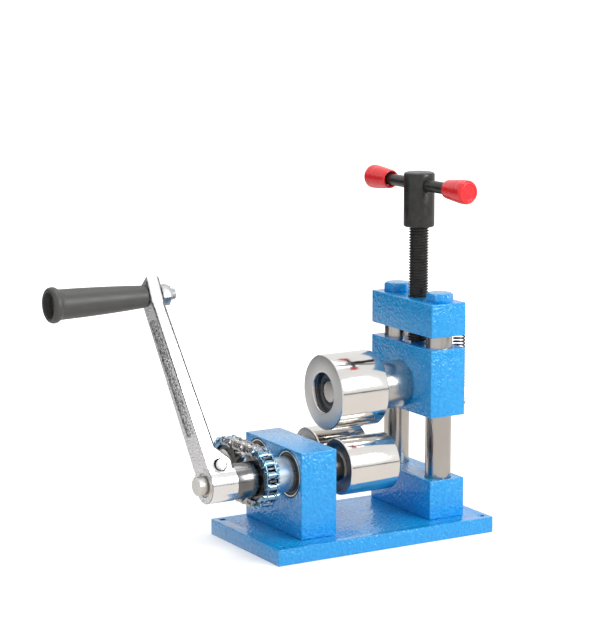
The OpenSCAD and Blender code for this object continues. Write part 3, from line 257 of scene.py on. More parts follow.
# %% Mottle as a node group
mottle, given, made = new_group(
    "mottle",
    [("Position", "NodeSocketVector", None), ("Broad", "NodeSocketFloat", 40.0),
     ("Fine", "NodeSocketFloat", 600.0)],
    [("Cloud", "NodeSocketFloat"), ("Grain", "NodeSocketFloat")])
cloud = add_node(mottle, "ShaderNodeTexNoise", {"Vector": given.outputs["Position"],
                 "Scale": given.outputs["Broad"], "Detail": 4.0, "Roughness": 0.6})
grain = add_node(mottle, "ShaderNodeTexNoise", {"Vector": given.outputs["Position"],
                 "Scale": given.outputs["Fine"], "Detail": 2.0, "Roughness": 0.5})
mottle.links.new(cloud.outputs[0], made.inputs["Cloud"])
mottle.links.new(grain.outputs[0], made.inputs["Grain"])
print("group", mottle.name)

# %% [markdown]
# ## Finishes
# A finish starts as a Principled shader with its constant values on its own sockets. What changes over
# the surface, such as the colour, the roughness and the bump, is linked from the groups. Where a second
# colour lies over the first, as a drop or a stain does, it is mixed over what is already linked.

# %% Helpers for finishes
def start_finish(name, base, metallic, roughness, **constants):
    finish = bpy.data.materials.new(name)
    finish.use_nodes = True
    tree = finish.node_tree
    shader = tree.nodes["Principled BSDF"]
    shader.inputs["Base Color"].default_value = (*base, 1)
    shader.inputs["Metallic"].default_value = metallic
    shader.inputs["Roughness"].default_value = roughness
    for label, value in constants.items():
        shader.inputs[label.replace("_", " ").title()].default_value = value
    position = add_node(tree, "ShaderNodeTexCoord").outputs["Object"]
    return finish, tree, shader, position

def use_group(tree, group, inputs):
    return add_node(tree, "ShaderNodeGroup", inputs, node_tree=group)

def vary_roughness(tree, shader, mask, low, high):
    spread = add_node(tree, "ShaderNodeMapRange", {"Value": mask, "From Min": 0.3, "From Max": 0.7,
                      "To Min": low, "To Max": high})
    tree.links.new(spread.outputs["Result"], shader.inputs["Roughness"])

def mix_base(tree, shader, mask, first_colour, second_colour):
    factor, first, second, result = 0, 6, 7, 2
    blend = add_node(tree, "ShaderNodeMix", {factor: mask, first: first_colour, second: second_colour},
                     data_type="RGBA")
    tree.links.new(blend.outputs[result], shader.inputs["Base Color"])

def vary_colour(tree, shader, mask, dark, light):
    mix_base(tree, shader, mask, (*dark, 1), (*light, 1))

def base_below(shader):
    return shader.inputs["Base Color"].links[0].from_socket

def paint_over(tree, shader, mask, colour):
    mix_base(tree, shader, mask, base_below(shader), (*colour, 1))

def raise_bump(tree, shader, height, strength, depth):
    bump = add_node(tree, "ShaderNodeBump", {"Height": height, "Strength": strength, "Distance": depth})
    tree.links.new(bump.outputs["Normal"], shader.inputs["Normal"])

# %% [markdown]
# The blocks and the plate are coated with a thick blue enamel. It has a glossy skin over fine pimples,
# like the peel of an orange. Here and there a pale speck shows where a drop of paint dried on top.

# %% Blue hammered enamel
enamel_blue, tree, shader, position = start_finish(
    "enamel_blue", (0.010, 0.38, 0.88), 0.0, 0.12, coat_weight=0.35, coat_roughness=0.08)
peel = add_node(tree, "ShaderNodeTexVoronoi", {"Vector": position, "Scale": 400.0, "Smoothness": 0.5},
                feature="SMOOTH_F1")
skin = use_group(tree, mottle, {"Position": position, "Broad": 35.0, "Fine": 300.0})
lumps = add_node(tree, "ShaderNodeMath", {0: peel.outputs["Distance"], 1: skin.outputs["Grain"]}, operation="ADD")
raise_bump(tree, shader, lumps.outputs[0], 1.0, 0.7 * mm)
speckle = add_node(tree, "ShaderNodeMapRange", {"Value": skin.outputs["Grain"], "From Min": 0.35,
                   "From Max": 0.75})
vary_colour(tree, shader, speckle.outputs["Result"], (0.006, 0.34, 0.82), (0.016, 0.43, 0.93))
drops = add_node(tree, "ShaderNodeTexVoronoi", {"Vector": position, "Scale": 170.0})
small = add_node(tree, "ShaderNodeMath", {0: drops.outputs["Distance"], 1: 0.10}, operation="LESS_THAN")
rare = add_node(tree, "ShaderNodeMath", {0: drops.outputs["Color"], 1: 0.80}, operation="GREATER_THAN")
speck = add_node(tree, "ShaderNodeMath", {0: small.outputs[0], 1: rare.outputs[0]}, operation="MULTIPLY")
paint_over(tree, shader, speck.outputs[0], (0.30, 0.70, 0.95))
vary_roughness(tree, shader, skin.outputs["Cloud"], 0.08, 0.16)
print("finish", enamel_blue.name)

# %% [markdown]
# The rollers are turned and polished. Their sides carry fine rings from the lathe, so a reflection is
# sharp along the roller and a little blurred across it. The same graph serves every turned steel
# piece, with its own tint, gloss and axis. A piece that stands upright gives its coordinates in another
# order, so that its own axis comes first.

# %% Turned steel in several tints
mark_depth, gap_shade_fade, gap_shade_colour = 0.06 * mm, 4 * mm, (0.09, 0.085, 0.08)

def turned_steel(name, tint, low, high, centre, upright=False, marks=0.10, gap_shade_from=None):
    finish, tree, shader, position = start_finish(name, tint, 1.0, (low + high) / 2)
    if upright:
        parts = add_node(tree, "ShaderNodeSeparateXYZ", {0: position})
        position = add_node(tree, "ShaderNodeCombineXYZ", {0: parts.outputs[2], 1: parts.outputs[0],
                            2: parts.outputs[1]}).outputs[0]
        centre = (centre[2], centre[0], centre[1])
    rings = use_group(tree, lathe_marks, {"Position": position, "Centre": centre})
    raise_bump(tree, shader, rings.outputs["Height"], marks, mark_depth)
    vary_roughness(tree, shader, rings.outputs["Sheen"], low, high)
    haze = use_group(tree, mottle, {"Position": position, "Broad": 28.0, "Fine": 900.0})
    vary_colour(tree, shader, haze.outputs["Cloud"], [0.86 * c for c in tint],
                [min(1.0, 1.08 * c) for c in tint])
    # From a set place along the axis towards the rollers, the steel is painted dark: painted shade of the dark
    # gap between the bearing block and the rollers
    if gap_shade_from is not None:
        along = add_node(tree, "ShaderNodeSeparateXYZ", {0: position}).outputs[0]
        gap_shade_mask = add_node(tree, "ShaderNodeMapRange", {"Value": along, "From Min": gap_shade_from,
                       "From Max": gap_shade_from + gap_shade_fade})
        paint_over(tree, shader, gap_shade_mask.outputs["Result"], gap_shade_colour)
    return finish

def middle(name):
    low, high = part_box(name)
    return (Vector(low) + Vector(high)) / 2

drive_axis = middle("drive_roller")
driven_axis = middle("driven_roller")
axle_axis = middle("upper_roller")
tower_axis = middle("screw_head")
# The hub tint is bluish: a painted reflection of the blue bearing block.
roller_tint, hub_tint_painted_blue, post_tint = (0.78, 0.76, 0.735), (0.74, 0.86, 0.94), (0.50, 0.48, 0.455)
# where the painted shade on the shafts begins
gap_shade_x = -60 * mm
steel_drive_roller = turned_steel("steel_drive_roller", roller_tint, 0.06, 0.15, drive_axis, marks=0.05)
steel_driven_roller = turned_steel("steel_driven_roller", roller_tint, 0.06, 0.15, driven_axis, marks=0.05)
steel_upper_roller = turned_steel("steel_upper_roller", roller_tint, 0.06, 0.15, axle_axis, marks=0.05)
steel_drive_shaft = turned_steel("steel_drive_shaft", (0.70, 0.68, 0.65), 0.24, 0.38, drive_axis,
                                 gap_shade_from=gap_shade_x)
steel_driven_shaft = turned_steel("steel_driven_shaft", (0.62, 0.60, 0.57), 0.24, 0.38, driven_axis,
                                  gap_shade_from=gap_shade_x)
steel_drive_hub = turned_steel("steel_drive_hub", hub_tint_painted_blue, 0.24, 0.36, drive_axis)
steel_driven_hub = turned_steel("steel_driven_hub", hub_tint_painted_blue, 0.24, 0.36, driven_axis)
# The tints of the end faces are painted shade: darkest on the front lower roller beside the bearing block,
# lighter on the back roller and lightest on the upper roller.
drive_face_painted_shade = turned_steel("drive_face_painted_shade", (0.38, 0.37, 0.37), 0.32, 0.46, drive_axis, marks=0.2)
driven_face_painted_shade = turned_steel("driven_face_painted_shade", (0.50, 0.49, 0.48), 0.32, 0.46, driven_axis, marks=0.2)
steel_upper_face = turned_steel("steel_upper_face", (0.75, 0.74, 0.73), 0.32, 0.46, axle_axis, marks=0.2)
steel_axle = turned_steel("steel_axle", (0.56, 0.54, 0.52), 0.20, 0.34, axle_axis)
steel_front_post = turned_steel("steel_front_post", post_tint, 0.16, 0.27,
                                middle("front_guide_post"), upright=True)
steel_back_post = turned_steel("steel_back_post", post_tint, 0.16, 0.27,
                               middle("back_guide_post"), upright=True)
print("turned steel for rollers, shafts, axle and posts")

# %% [markdown]
# The chain, the sprockets and the spacer are dark oiled steel: a metal with a low, uneven gloss. Both ends of
# the chain are tinted blue, a painted reflection of the blue bearing block, growing from its middle outwards.
# The screw and its head are blackened, which is a thin dark skin with a satin sheen. Nuts, bolts and the screws
# of the springs are zinc.
# The balls inside the bearings are bright, and their cages are brass.

# %% Oiled, blackened and zinc steel
grain_depth = 0.1 * mm

def oiled_steel(name, dark, light, low, high, broad, fine, bump, metallic=1.0):
    finish, tree, shader, position = start_finish(name, light, metallic, (low + high) / 2)
    film = use_group(tree, mottle, {"Position": position, "Broad": broad, "Fine": fine})
    vary_colour(tree, shader, film.outputs["Cloud"], dark, light)
    vary_roughness(tree, shader, film.outputs["Cloud"], low, high)
    raise_bump(tree, shader, film.outputs["Grain"], bump, grain_depth)
    return finish

steel_chain = oiled_steel("steel_chain", (0.24, 0.24, 0.245), (0.58, 0.57, 0.56), 0.14, 0.30, 220.0, 1400.0, 0.12)
tree = steel_chain.node_tree
shader = tree.nodes["Principled BSDF"]
spot = add_node(tree, "ShaderNodeTexCoord").outputs["Object"]
depth = add_node(tree, "ShaderNodeSeparateXYZ", {0: spot}).outputs["Y"]
between = add_node(tree, "ShaderNodeMath", {0: depth, 1: (drive_axis.y + driven_axis.y) / 2},
                   operation="SUBTRACT")
off_middle = add_node(tree, "ShaderNodeMath", {0: between.outputs[0]}, operation="ABSOLUTE")
# the blue over both ends of the chain is a painted reflection of the blue bearing block
painted_blue_reflection = add_node(tree, "ShaderNodeMapRange", {"Value": off_middle.outputs[0], "From Min": 18 * mm,
                      "From Max": 34 * mm, "To Min": 0.0, "To Max": 0.6})
paint_over(tree, shader, painted_blue_reflection.outputs["Result"], (0.08, 0.36, 0.62))
steel_dark = oiled_steel("steel_dark", (0.11, 0.11, 0.115), (0.22, 0.215, 0.21), 0.26, 0.40, 90.0, 1200.0, 0.2)
steel_spacer = oiled_steel("steel_spacer", (0.12, 0.12, 0.125), (0.26, 0.255, 0.25), 0.16, 0.28, 90.0, 1200.0,
                           0.1)
black_oxide = oiled_steel("black_oxide", (0.008, 0.008, 0.008), (0.060, 0.059, 0.058), 0.24, 0.38, 160.0, 1500.0,
                          0.25, metallic=0.3)
zinc_bright = oiled_steel("zinc_bright", (0.34, 0.35, 0.36), (0.60, 0.61, 0.62), 0.22, 0.36, 120.0, 1500.0, 0.15)
spring_wire = oiled_steel("spring_wire", (0.04, 0.045, 0.055), (0.12, 0.13, 0.15), 0.25, 0.38, 150.0, 1500.0,
                          0.15)
bearing_bright = oiled_steel("bearing_bright", (0.66, 0.66, 0.66), (0.82, 0.82, 0.82), 0.10, 0.20, 60.0, 1800.0,
                             0.05)
cage_brass = oiled_steel("cage_brass", (0.45, 0.32, 0.12), (0.66, 0.50, 0.22), 0.28, 0.40, 120.0, 1500.0, 0.2)
print("eight metal finishes of oiled, blackened and plated pieces")

# %% [markdown]
# The bearing rings sit deep in their bores, and their dark colour is partly that of oiled steel and partly
# painted shade of the bore. A thin painted highlight runs round each of them, so the colour follows the distance
# from the shaft's axis.

# %% Bearing rings
highlight_line_r, highlight_line_half = 19.4 * mm, 0.4 * mm

def ring_steel(name, centre):
    finish, tree, shader, position = start_finish(name, (0.06, 0.07, 0.08), 1.0, 0.3)
    offset = add_node(tree, "ShaderNodeVectorMath", {0: position, 1: centre}, operation="SUBTRACT")
    parts = add_node(tree, "ShaderNodeSeparateXYZ", {0: offset.outputs[0]})
    flat = add_node(tree, "ShaderNodeCombineXYZ", {1: parts.outputs[1], 2: parts.outputs[2]})
    radius = add_node(tree, "ShaderNodeVectorMath", {0: flat.outputs[0]}, operation="LENGTH")
    # a thin ring at one radius is painted bright: a painted highlight on the dark ring
    line = add_node(tree, "ShaderNodeMath", {0: radius.outputs["Value"], 1: highlight_line_r, 2: highlight_line_half},
                    operation="COMPARE")
    vary_colour(tree, shader, line.outputs[0], (0.035, 0.045, 0.06), (0.75, 0.78, 0.82))
    film = use_group(tree, mottle, {"Position": position, "Broad": 90.0, "Fine": 1500.0})
    vary_roughness(tree, shader, film.outputs["Cloud"], 0.20, 0.34)
    raise_bump(tree, shader, film.outputs["Grain"], 0.1, grain_depth)
    return finish

ring_drive = ring_steel("ring_drive", drive_axis)
ring_driven = ring_steel("ring_driven", driven_axis)
ring_upper = ring_steel("ring_upper", axle_axis)
print("three ring finishes")

# %% [markdown]
# The crank is a forging under bright plate. Its sides were ground smooth before plating, while its outer
# face keeps the forged skin. The long panel in that face is stippled, with dark pits between bright beads,
# and the rounded edges are painted a duller grey, a painted shade that draws their outline. The stipple could
# be modelled bead by bead, but it is too fine for that, so a finish draws it inside a zone that is measured along
# and across the arm.

# %% Bright plate on the crank
crank_plate, tree, shader, position = start_finish("crank_plate", (0.84, 0.84, 0.85), 1.0, 0.14)
forged = use_group(tree, mottle, {"Position": position, "Broad": 70.0, "Fine": 420.0})
raise_bump(tree, shader, forged.outputs["Grain"], 0.10, 0.4 * mm)
vary_roughness(tree, shader, forged.outputs["Cloud"], 0.10, 0.22)
vary_colour(tree, shader, forged.outputs["Cloud"], (0.76, 0.76, 0.77), (0.90, 0.90, 0.91))

def forged_skin(name, dark, light, broad, beads, bump):
    finish, tree, shader, position = start_finish(name, light, 1.0, 0.34)
    stipple = add_node(tree, "ShaderNodeTexVoronoi", {"Vector": position, "Scale": beads})
    skin = use_group(tree, mottle, {"Position": position, "Broad": broad, "Fine": beads})
    pits = add_node(tree, "ShaderNodeMath", {0: stipple.outputs["Distance"], 1: skin.outputs["Grain"]},
                    operation="ADD")
    raise_bump(tree, shader, pits.outputs[0], bump, 0.6 * mm)
    spread = add_node(tree, "ShaderNodeMapRange", {"Value": skin.outputs["Grain"], "From Min": 0.40,
                      "From Max": 0.60})
    vary_colour(tree, shader, spread.outputs["Result"], dark, light)
    vary_roughness(tree, shader, skin.outputs["Cloud"], 0.26, 0.42)
    return finish

crank_skin = forged_skin("crank_skin", (0.62, 0.62, 0.63), (0.95, 0.95, 0.96), 160.0, 620.0, 0.5)
crank_panel = forged_skin("crank_panel", (0.14, 0.14, 0.145), (0.98, 0.98, 0.99), 160.0, 640.0, 0.8)
# the rounds are painted darker than the plate: painted shade that draws their outline
crank_edge_shade = forged_skin("crank_edge_shade", (0.08, 0.08, 0.085), (0.28, 0.28, 0.29), 90.0, 400.0, 0.3)

handle_axis = middle("handle_grip")
arm_way = Vector((0, handle_axis.y - drive_axis.y, handle_axis.z - drive_axis.z)).normalized()
across = Vector((0, -arm_way.z, arm_way.y))
tree = crank_panel.node_tree
shader = tree.nodes["Principled BSDF"]
position = add_node(tree, "ShaderNodeTexCoord").outputs["Object"]
inside = []
zone_along, zone_across = (96 * mm, 52 * mm), (0.8 * mm, 6.8 * mm)
for way, (centre, reach) in ((arm_way, zone_along), (across, zone_across)):
    along = add_node(tree, "ShaderNodeVectorMath", {0: position, 1: way}, operation="DOT_PRODUCT")
    middle_of_zone = drive_axis.dot(way) + centre
    inside.append(add_node(tree, "ShaderNodeMath", {0: along.outputs["Value"], 1: middle_of_zone, 2: reach},
                           operation="COMPARE").outputs[0])
zone = add_node(tree, "ShaderNodeMath", {0: inside[0], 1: inside[1]}, operation="MULTIPLY")
mix_base(tree, shader, zone.outputs[0], (0.80, 0.80, 0.81, 1), base_below(shader))
print("four finishes on the crank")

# %% [markdown]
# The handle is black rubber with a soft sheen, and the seals of the bearings are the same rubber. The
# grips of the cross bar are red plastic straight from the mould: a smooth skin that waves a little.

# %% Rubber and plastic
rubber_black, tree, shader, position = start_finish("rubber_black", (0.050, 0.050, 0.049), 0.0, 0.40)
skin = use_group(tree, mottle, {"Position": position, "Broad": 60.0, "Fine": 1800.0})
vary_roughness(tree, shader, skin.outputs["Cloud"], 0.34, 0.50)
vary_colour(tree, shader, skin.outputs["Cloud"], (0.052, 0.052, 0.050), (0.090, 0.090, 0.087))
raise_bump(tree, shader, skin.outputs["Grain"], 0.2, grain_depth)

plastic_red, tree, shader, position = start_finish(
    "plastic_red", (0.95, 0.020, 0.035), 0.0, 0.28, coat_weight=0.3, coat_roughness=0.15)
skin = use_group(tree, mottle, {"Position": position, "Broad": 90.0, "Fine": 1500.0})
vary_colour(tree, shader, skin.outputs["Cloud"], (0.94, 0.014, 0.022), (1.0, 0.024, 0.036))
vary_roughness(tree, shader, skin.outputs["Cloud"], 0.22, 0.34)
raise_bump(tree, shader, skin.outputs["Grain"], 0.03, grain_depth)
print("finish", rubber_black.name, "and", plastic_red.name)

# %% [markdown]
# ## Solids that keep their shape
# Many solids are already right, such as bearing rings, balls, keys and sleeves. They stay as they are
# and only get their finish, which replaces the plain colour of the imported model.

# %% Finishes on the solids that stay
def paint_solid(finish, *names):
    for name in names:
        solid = frame["nodes"][name]
        solid.data.materials.clear()
        solid.data.materials.append(finish)
    print(finish.name, "on", len(names), "solids")

paint_solid(ring_drive, "drive_bearing_outer_rings")
paint_solid(ring_driven, "driven_bearing_outer_rings")
paint_solid(ring_upper, "upper_bearing_outer_rings", "upper_bearing_inner_rings")
paint_solid(bearing_bright, "drive_bearing_inner_rings", "driven_bearing_inner_rings", "drive_bearing_balls",
            "driven_bearing_balls", "upper_bearing_balls")
paint_solid(cage_brass, "drive_bearing_cages", "driven_bearing_cages", "upper_bearing_cages")
paint_solid(rubber_black, "bearing_seals", "upper_bearing_seals")
paint_solid(steel_dark, "drive_key", "driven_key", "upper_bearing_spacer", "upper_circlip", "chain_bushes")
paint_solid(black_oxide, "base_screws")
paint_solid(zinc_bright, "handle_sleeve", "cotter_washer")
paint_solid(steel_drive_shaft, "drive_shaft")
paint_solid(steel_driven_shaft, "driven_shaft")

# %% [markdown]
# ## Turned pieces
# A turned piece is made as on a lathe: a profile from the axis outwards is spun round it. A plane is
# merged to one point, the point is extruded along the profile, and Spin carries it round. Rounded
# corners come from a Bevel that only takes sharp edges.

# %% Lathe and edge helpers
def clear_selection():
    if bpy.context.mode != "OBJECT":
        bpy.ops.object.mode_set(mode="OBJECT")
    bpy.ops.object.select_all(action="DESELECT")

def work_on(*pieces):
    clear_selection()
    for piece in pieces:
        piece.select_set(True)
    bpy.context.view_layer.objects.active = pieces[0]

def turn_profile(name, profile, axis, centre, steps=96):
    clear_selection()
    bpy.ops.mesh.primitive_plane_add(size=0.001, location=(0, 0, 0))
    piece = bpy.context.object
    piece.name = name
    along = Vector(axis)
    out = Vector((0, 0, 1)) if abs(along.z) < 0.5 else Vector((1, 0, 0))
    stations = [Vector(centre) + along * distance + out * r for distance, r in profile]
    bpy.ops.object.mode_set(mode="EDIT")
    bpy.ops.mesh.select_all(action="SELECT")
    bpy.ops.mesh.merge(type="CENTER")
    bpy.ops.transform.translate(value=stations[0])
    for here, there in zip(stations, stations[1:]):
        bpy.ops.mesh.extrude_region_move(TRANSFORM_OT_translate={"value": there - here})
    bpy.ops.mesh.select_all(action="SELECT")
    bpy.ops.mesh.spin(steps=steps, angle=2 * math.pi, center=centre, axis=axis)
    bpy.ops.mesh.select_all(action="SELECT")
    bpy.ops.mesh.remove_doubles(threshold=1e-6)
    bpy.ops.mesh.normals_make_consistent(inside=False)
    bpy.ops.object.mode_set(mode="OBJECT")
    return piece

def apply_modifier(piece, kind, **settings):
    work_on(piece)
    modifier = piece.modifiers.new("step", kind)
    for name, value in settings.items():
        setattr(modifier, name, value)
    bpy.ops.object.modifier_apply(modifier=modifier.name)

def soften(piece, width, segments=2, angle=35, smooth=40, clamp=True):
    if width:
        apply_modifier(piece, "BEVEL", width=width, segments=segments, limit_method="ANGLE",
                       angle_limit=math.radians(angle), use_clamp_overlap=clamp)
    work_on(piece)
    bpy.ops.object.shade_smooth_by_angle(angle=math.radians(smooth))

def cut_bore(piece, way, centre, r, length):
    clear_selection()
    turn = Vector(way).to_track_quat("Z", "Y").to_euler()
    bpy.ops.mesh.primitive_cylinder_add(vertices=72, radius=r, depth=length, location=centre, rotation=turn)
    cutter = bpy.context.object
    bpy.ops.object.transform_apply(location=True, rotation=True, scale=True)
    apply_modifier(piece, "BOOLEAN", operation="DIFFERENCE", solver="EXACT", object=cutter)
    bpy.data.objects.remove(cutter)

def hand_over(piece, finish, slot, body, *nodes):
    if finish is not None:
        piece.data.materials.clear()
        piece.data.materials.append(finish)
    if nodes:
        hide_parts(*nodes)
    if body:
        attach(piece, body)
    print(piece.name, len(piece.data.polygons), "faces")

# %% [markdown]
# The lower rollers have a recess in both faces, which leaves a bright rim, and all their edges are broken.
# Their ends were faced, not polished, so the faces that look along the axis take a rougher steel of their own.
# Its darker tint is painted shade, darkest on the front roller beside the bearing block.

# %% Lower rollers
def brush_ends(piece, finish):
    piece.data.materials.append(finish)
    for face in piece.data.polygons:
        face.material_index = 1 if abs(face.normal.x) > 0.9 else 0

def lower_roller(name, node, finish, face_finish, body):
    low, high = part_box(node)
    half = (high[0] - low[0]) / 2
    r = (high[2] - low[2]) / 2
    bore, hub, rim, recess, chamfer = 10.02 * mm, 13.4 * mm, r - 4 * mm, 1.5 * mm, 0.8 * mm
    side = [(-half, bore), (-half, hub), (-half + recess, hub), (-half + recess, rim), (-half, rim),
            (-half, r - chamfer), (-half + chamfer, r)]
    other = [(-a, b) for a, b in reversed(side)]
    piece = turn_profile(name, side + other + side[:1], (1, 0, 0), middle(node))
    soften(piece, 0.25 * mm)
    hand_over(piece, finish, "polished_steel", body, node)
    brush_ends(piece, face_finish)

lower_roller("front_lower_roller", "drive_roller", steel_drive_roller, drive_face_painted_shade, "drive")
lower_roller("back_lower_roller", "driven_roller", steel_driven_roller, driven_face_painted_shade, "driven")

# %% [markdown]
# The upper roller is bored through for its bearings. A lip at the front hides their outer rings, so only
# the black seal and the end of the axle show in the bore. A groove at the back holds a snap ring. The axle
# has a wide collar that stands between the roller and the slide block.

# %% Upper roller and its axle
low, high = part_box("upper_roller")
half = (high[0] - low[0]) / 2
r = (high[2] - low[2]) / 2
lip, seat, lip_depth, lip_break, chamfer = 17.75 * mm, 18.52 * mm, 6.2 * mm, 0.5 * mm, 0.9 * mm
groove_out, groove_in, groove_bottom = half - 2.58 * mm, half - 4.2 * mm, seat + 1.02 * mm
piece = turn_profile("upper_roller_drum", [
    (-half, lip + lip_break), (-half, r - chamfer), (-half + chamfer, r), (half - chamfer, r),
    (half, r - chamfer), (half, seat), (groove_out, seat), (groove_out, groove_bottom),
    (groove_in, groove_bottom), (groove_in, seat), (-half + lip_depth, seat), (-half + lip_depth, lip),
    (-half + lip_break, lip), (-half, lip + lip_break)], (1, 0, 0), axle_axis)
soften(piece, 0.25 * mm)
hand_over(piece, steel_upper_roller, "polished_steel", "upper_roll", "upper_roller")
brush_ends(piece, steel_upper_face)

low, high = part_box("upper_axle")
block_low, block_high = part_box("slide_block")
roller_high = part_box("upper_roller")[1]
start = Vector((0, axle_axis.y, axle_axis.z))
journal_r, shoulder_r, collar_r, thread_r = 10 * mm, 12.2 * mm, 21 * mm, 8 * mm
chamfer, back_break, end_break = 0.8 * mm, 0.4 * mm, 1 * mm
collar_x, ring_x = roller_high[0] + 0.8 * mm, roller_high[0] - 4.2 * mm
thread_x = block_high[0] - 1 * mm
piece = turn_profile("upper_axle_turned", [
    (low[0], 0), (low[0], journal_r - chamfer), (low[0] + chamfer, journal_r), (ring_x, journal_r),
    (ring_x, shoulder_r), (collar_x, shoulder_r), (collar_x, collar_r - chamfer), (collar_x + chamfer, collar_r),
    (block_low[0] - back_break, collar_r), (block_low[0], collar_r - back_break), (block_low[0], journal_r),
    (thread_x, journal_r), (thread_x, thread_r), (high[0] - end_break, thread_r),
    (high[0], thread_r - end_break), (high[0], 0)], (1, 0, 0), start)
soften(piece, 0.2 * mm)
hand_over(piece, steel_axle, "ground_steel", "slide", "upper_axle")

# %% [markdown]
# The posts are ground bars that stand in the post block and carry the top block. The head of the screw
# is a thick round with a slightly crowned top, and the bar through it carries two grips.

# %% Posts, screw head and cross bar
post_r, foot_break, top_break = 11.5 * mm, 0.8 * mm, 0.3 * mm
for name, node, finish in (("front_post_ground", "front_guide_post", steel_front_post),
                           ("back_post_ground", "back_guide_post", steel_back_post)):
    low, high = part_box(node)
    half = (high[2] - low[2]) / 2
    piece = turn_profile(name, [(-half, 0), (-half, post_r - foot_break), (-half + foot_break, post_r),
                                (half - top_break, post_r), (half, post_r - top_break), (half, 0)],
                         (0, 0, 1), middle(node))
    soften(piece, 0.1 * mm)
    hand_over(piece, finish, "ground_steel", "frame", node)

bar_turn = math.radians(-88)
bar_way = Vector((math.cos(bar_turn), math.sin(bar_turn), 0))
bar_middle = middle("cross_bar")
low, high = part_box("screw_head")
half = (high[2] - low[2]) / 2
r = (high[0] - low[0]) / 2
socket_r, socket_depth, chamfer = 6.52 * mm, 20 * mm, 0.8 * mm
bar_r, bar_hole_r, past_head = 5.25 * mm, 5.27 * mm, 60 * mm
crown = [(2.2 * mm, 0), (0.9 * mm, 0.5 * mm), (0.3 * mm, 1.8 * mm), (0, 5 * mm)]
piece = turn_profile("screw_head_round", [
    (-half + socket_depth, 0), (-half + socket_depth, socket_r), (-half, socket_r), (-half, r - chamfer),
    (-half + chamfer, r)] + [(half - down, r - inward) for down, inward in crown] + [(half, 0)],
    (0, 0, 1), tower_axis)
cut_bore(piece, bar_way, bar_middle, bar_hole_r, past_head)
soften(piece, 0.15 * mm)
hand_over(piece, black_oxide, "black_oxide", "screw", "screw_head")

half_bar, bar_end_r = 67.5 * mm, 4.4 * mm
piece = turn_profile("cross_bar_round", [(-half_bar, 0), (-half_bar, bar_end_r), (-half_bar + chamfer, bar_r),
                     (half_bar - chamfer, bar_r), (half_bar, bar_end_r), (half_bar, 0)], bar_way, bar_middle, 48)
soften(piece, 0.1 * mm)
hand_over(piece, black_oxide, "black_oxide", "screw", "cross_bar")

# %% [markdown]
# The red grips swell from a hollow mouth to a straight band, with a rounded rim and a dished end. Each row
# of a profile is a distance from the screw and a radius, in millimetres. The two grips are alike and move
# together, so they are joined into one piece.

# %% Grips of the cross bar
def bar_grip(name, way):
    mouth = [(50.5, 5.27), (50.5, 6.75), (44.3, 6.75), (43.7, 7.0), (43.5, 7.5), (43.7, 8.0), (44.4, 8.3)]
    swell = [(48, 8.75), (60, 10.0), (64, 10.4), (64.6, 10.3), (65.2, 10.5), (71.4, 10.5), (73.2, 9.4)]
    end = [(73.9, 8.5), (74, 8.0), (73.6, 7.5), (72.9, 6.9), (72.8, 5.5), (72.8, 0)]
    socket = [(67.5, 0), (67.5, 5.27), (50.5, 5.27)]
    profile = mouth + swell + end + socket
    piece = turn_profile(name, [(a * mm, b * mm) for a, b in profile], way, bar_middle, 64)
    soften(piece, 0.3 * mm, 3, 25, 50)
    return piece

near = bar_grip("bar_grips_moulded", bar_way)
far = bar_grip("far_grip", -bar_way)
work_on(near, far)
bpy.ops.object.join()
hand_over(near, plastic_red, "red_plastic", "screw", "bar_grips")

# %% [markdown]
# The handle is a rubber sleeve that swells towards a rolled flange, with a deep hollow in its end where the
# bolt sits. The rows of its profile are again a distance and a radius in millimetres.

# %% Handle grip
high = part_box("handle_grip")[1]
sleeve = [(0, 7.05), (0, 8.8), (0.8, 9.6), (3, 9.85), (20, 10.9), (40, 11.9), (60, 12.6), (74.5, 12.95)]
flange = [(79.5, 13.1), (81.9, 13.5), (83.1, 14.5), (84.3, 15.2), (86.1, 15.5), (87.9, 15.3), (89.4, 14.5),
          (90.3, 13.2), (90.5, 12.2), (90.1, 11.5)]
hollow = [(89.1, 11.25), (74.5, 11.2), (74.5, 7.05), (0, 7.05)]
profile = sleeve + flange + hollow
piece = turn_profile("handle_grip_rubber", [(a * mm, b * mm) for a, b in profile], (-1, 0, 0),
                     Vector((high[0], handle_axis.y, handle_axis.z)))
soften(piece, 0.3 * mm, 3, 30, 50)
hand_over(piece, rubber_black, "black_rubber", "handle", "handle_grip")

# %% [markdown]
# ## Painted blocks
# A block starts as a cube of its size. Its bores are cut with Boolean modifiers, and one Bevel rounds every
# sharp edge, because thick enamel never keeps a knife edge.

# %% Painted blocks
def painted_block(name, node, bores, width=0.9 * mm, body="frame"):
    low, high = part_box(node)
    clear_selection()
    bpy.ops.mesh.primitive_cube_add(size=1, location=middle(node))
    piece = bpy.context.object
    piece.name = name
    piece.scale = [high[i] - low[i] for i in range(3)]
    bpy.ops.object.transform_apply(location=True, rotation=True, scale=True)
    for bore in bores:
        cut_bore(piece, *bore)
    soften(piece, width, 3, 40, 40)
    hand_over(piece, enamel_blue, "blue_paint", body, node)

upright, lengthwise, through = (0, 0, 1), (1, 0, 0), 100 * mm
shaft_room_r, bearing_seat_r, bearing_cut = 18 * mm, 21.02 * mm, 25 * mm
low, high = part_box("bearing_block")
block_mid = middle("bearing_block")
bores = []
for axis_point in (drive_axis, driven_axis):
    bores.append((lengthwise, (block_mid.x, axis_point.y, axis_point.z), shaft_room_r, through / 2))
    for face_x in (low[0], high[0]):
        bores.append((lengthwise, (face_x, axis_point.y, axis_point.z), bearing_seat_r, bearing_cut))
painted_block("bearing_block_painted", "bearing_block", bores)

# %% [markdown]
# The tower has three blocks. The post block holds the feet of the posts. The slide block runs on the posts and
# carries the upper axle and the tip of the screw, and the top block sits on the posts and guides the screw. Each
# bore takes its place from the piece that goes through it.

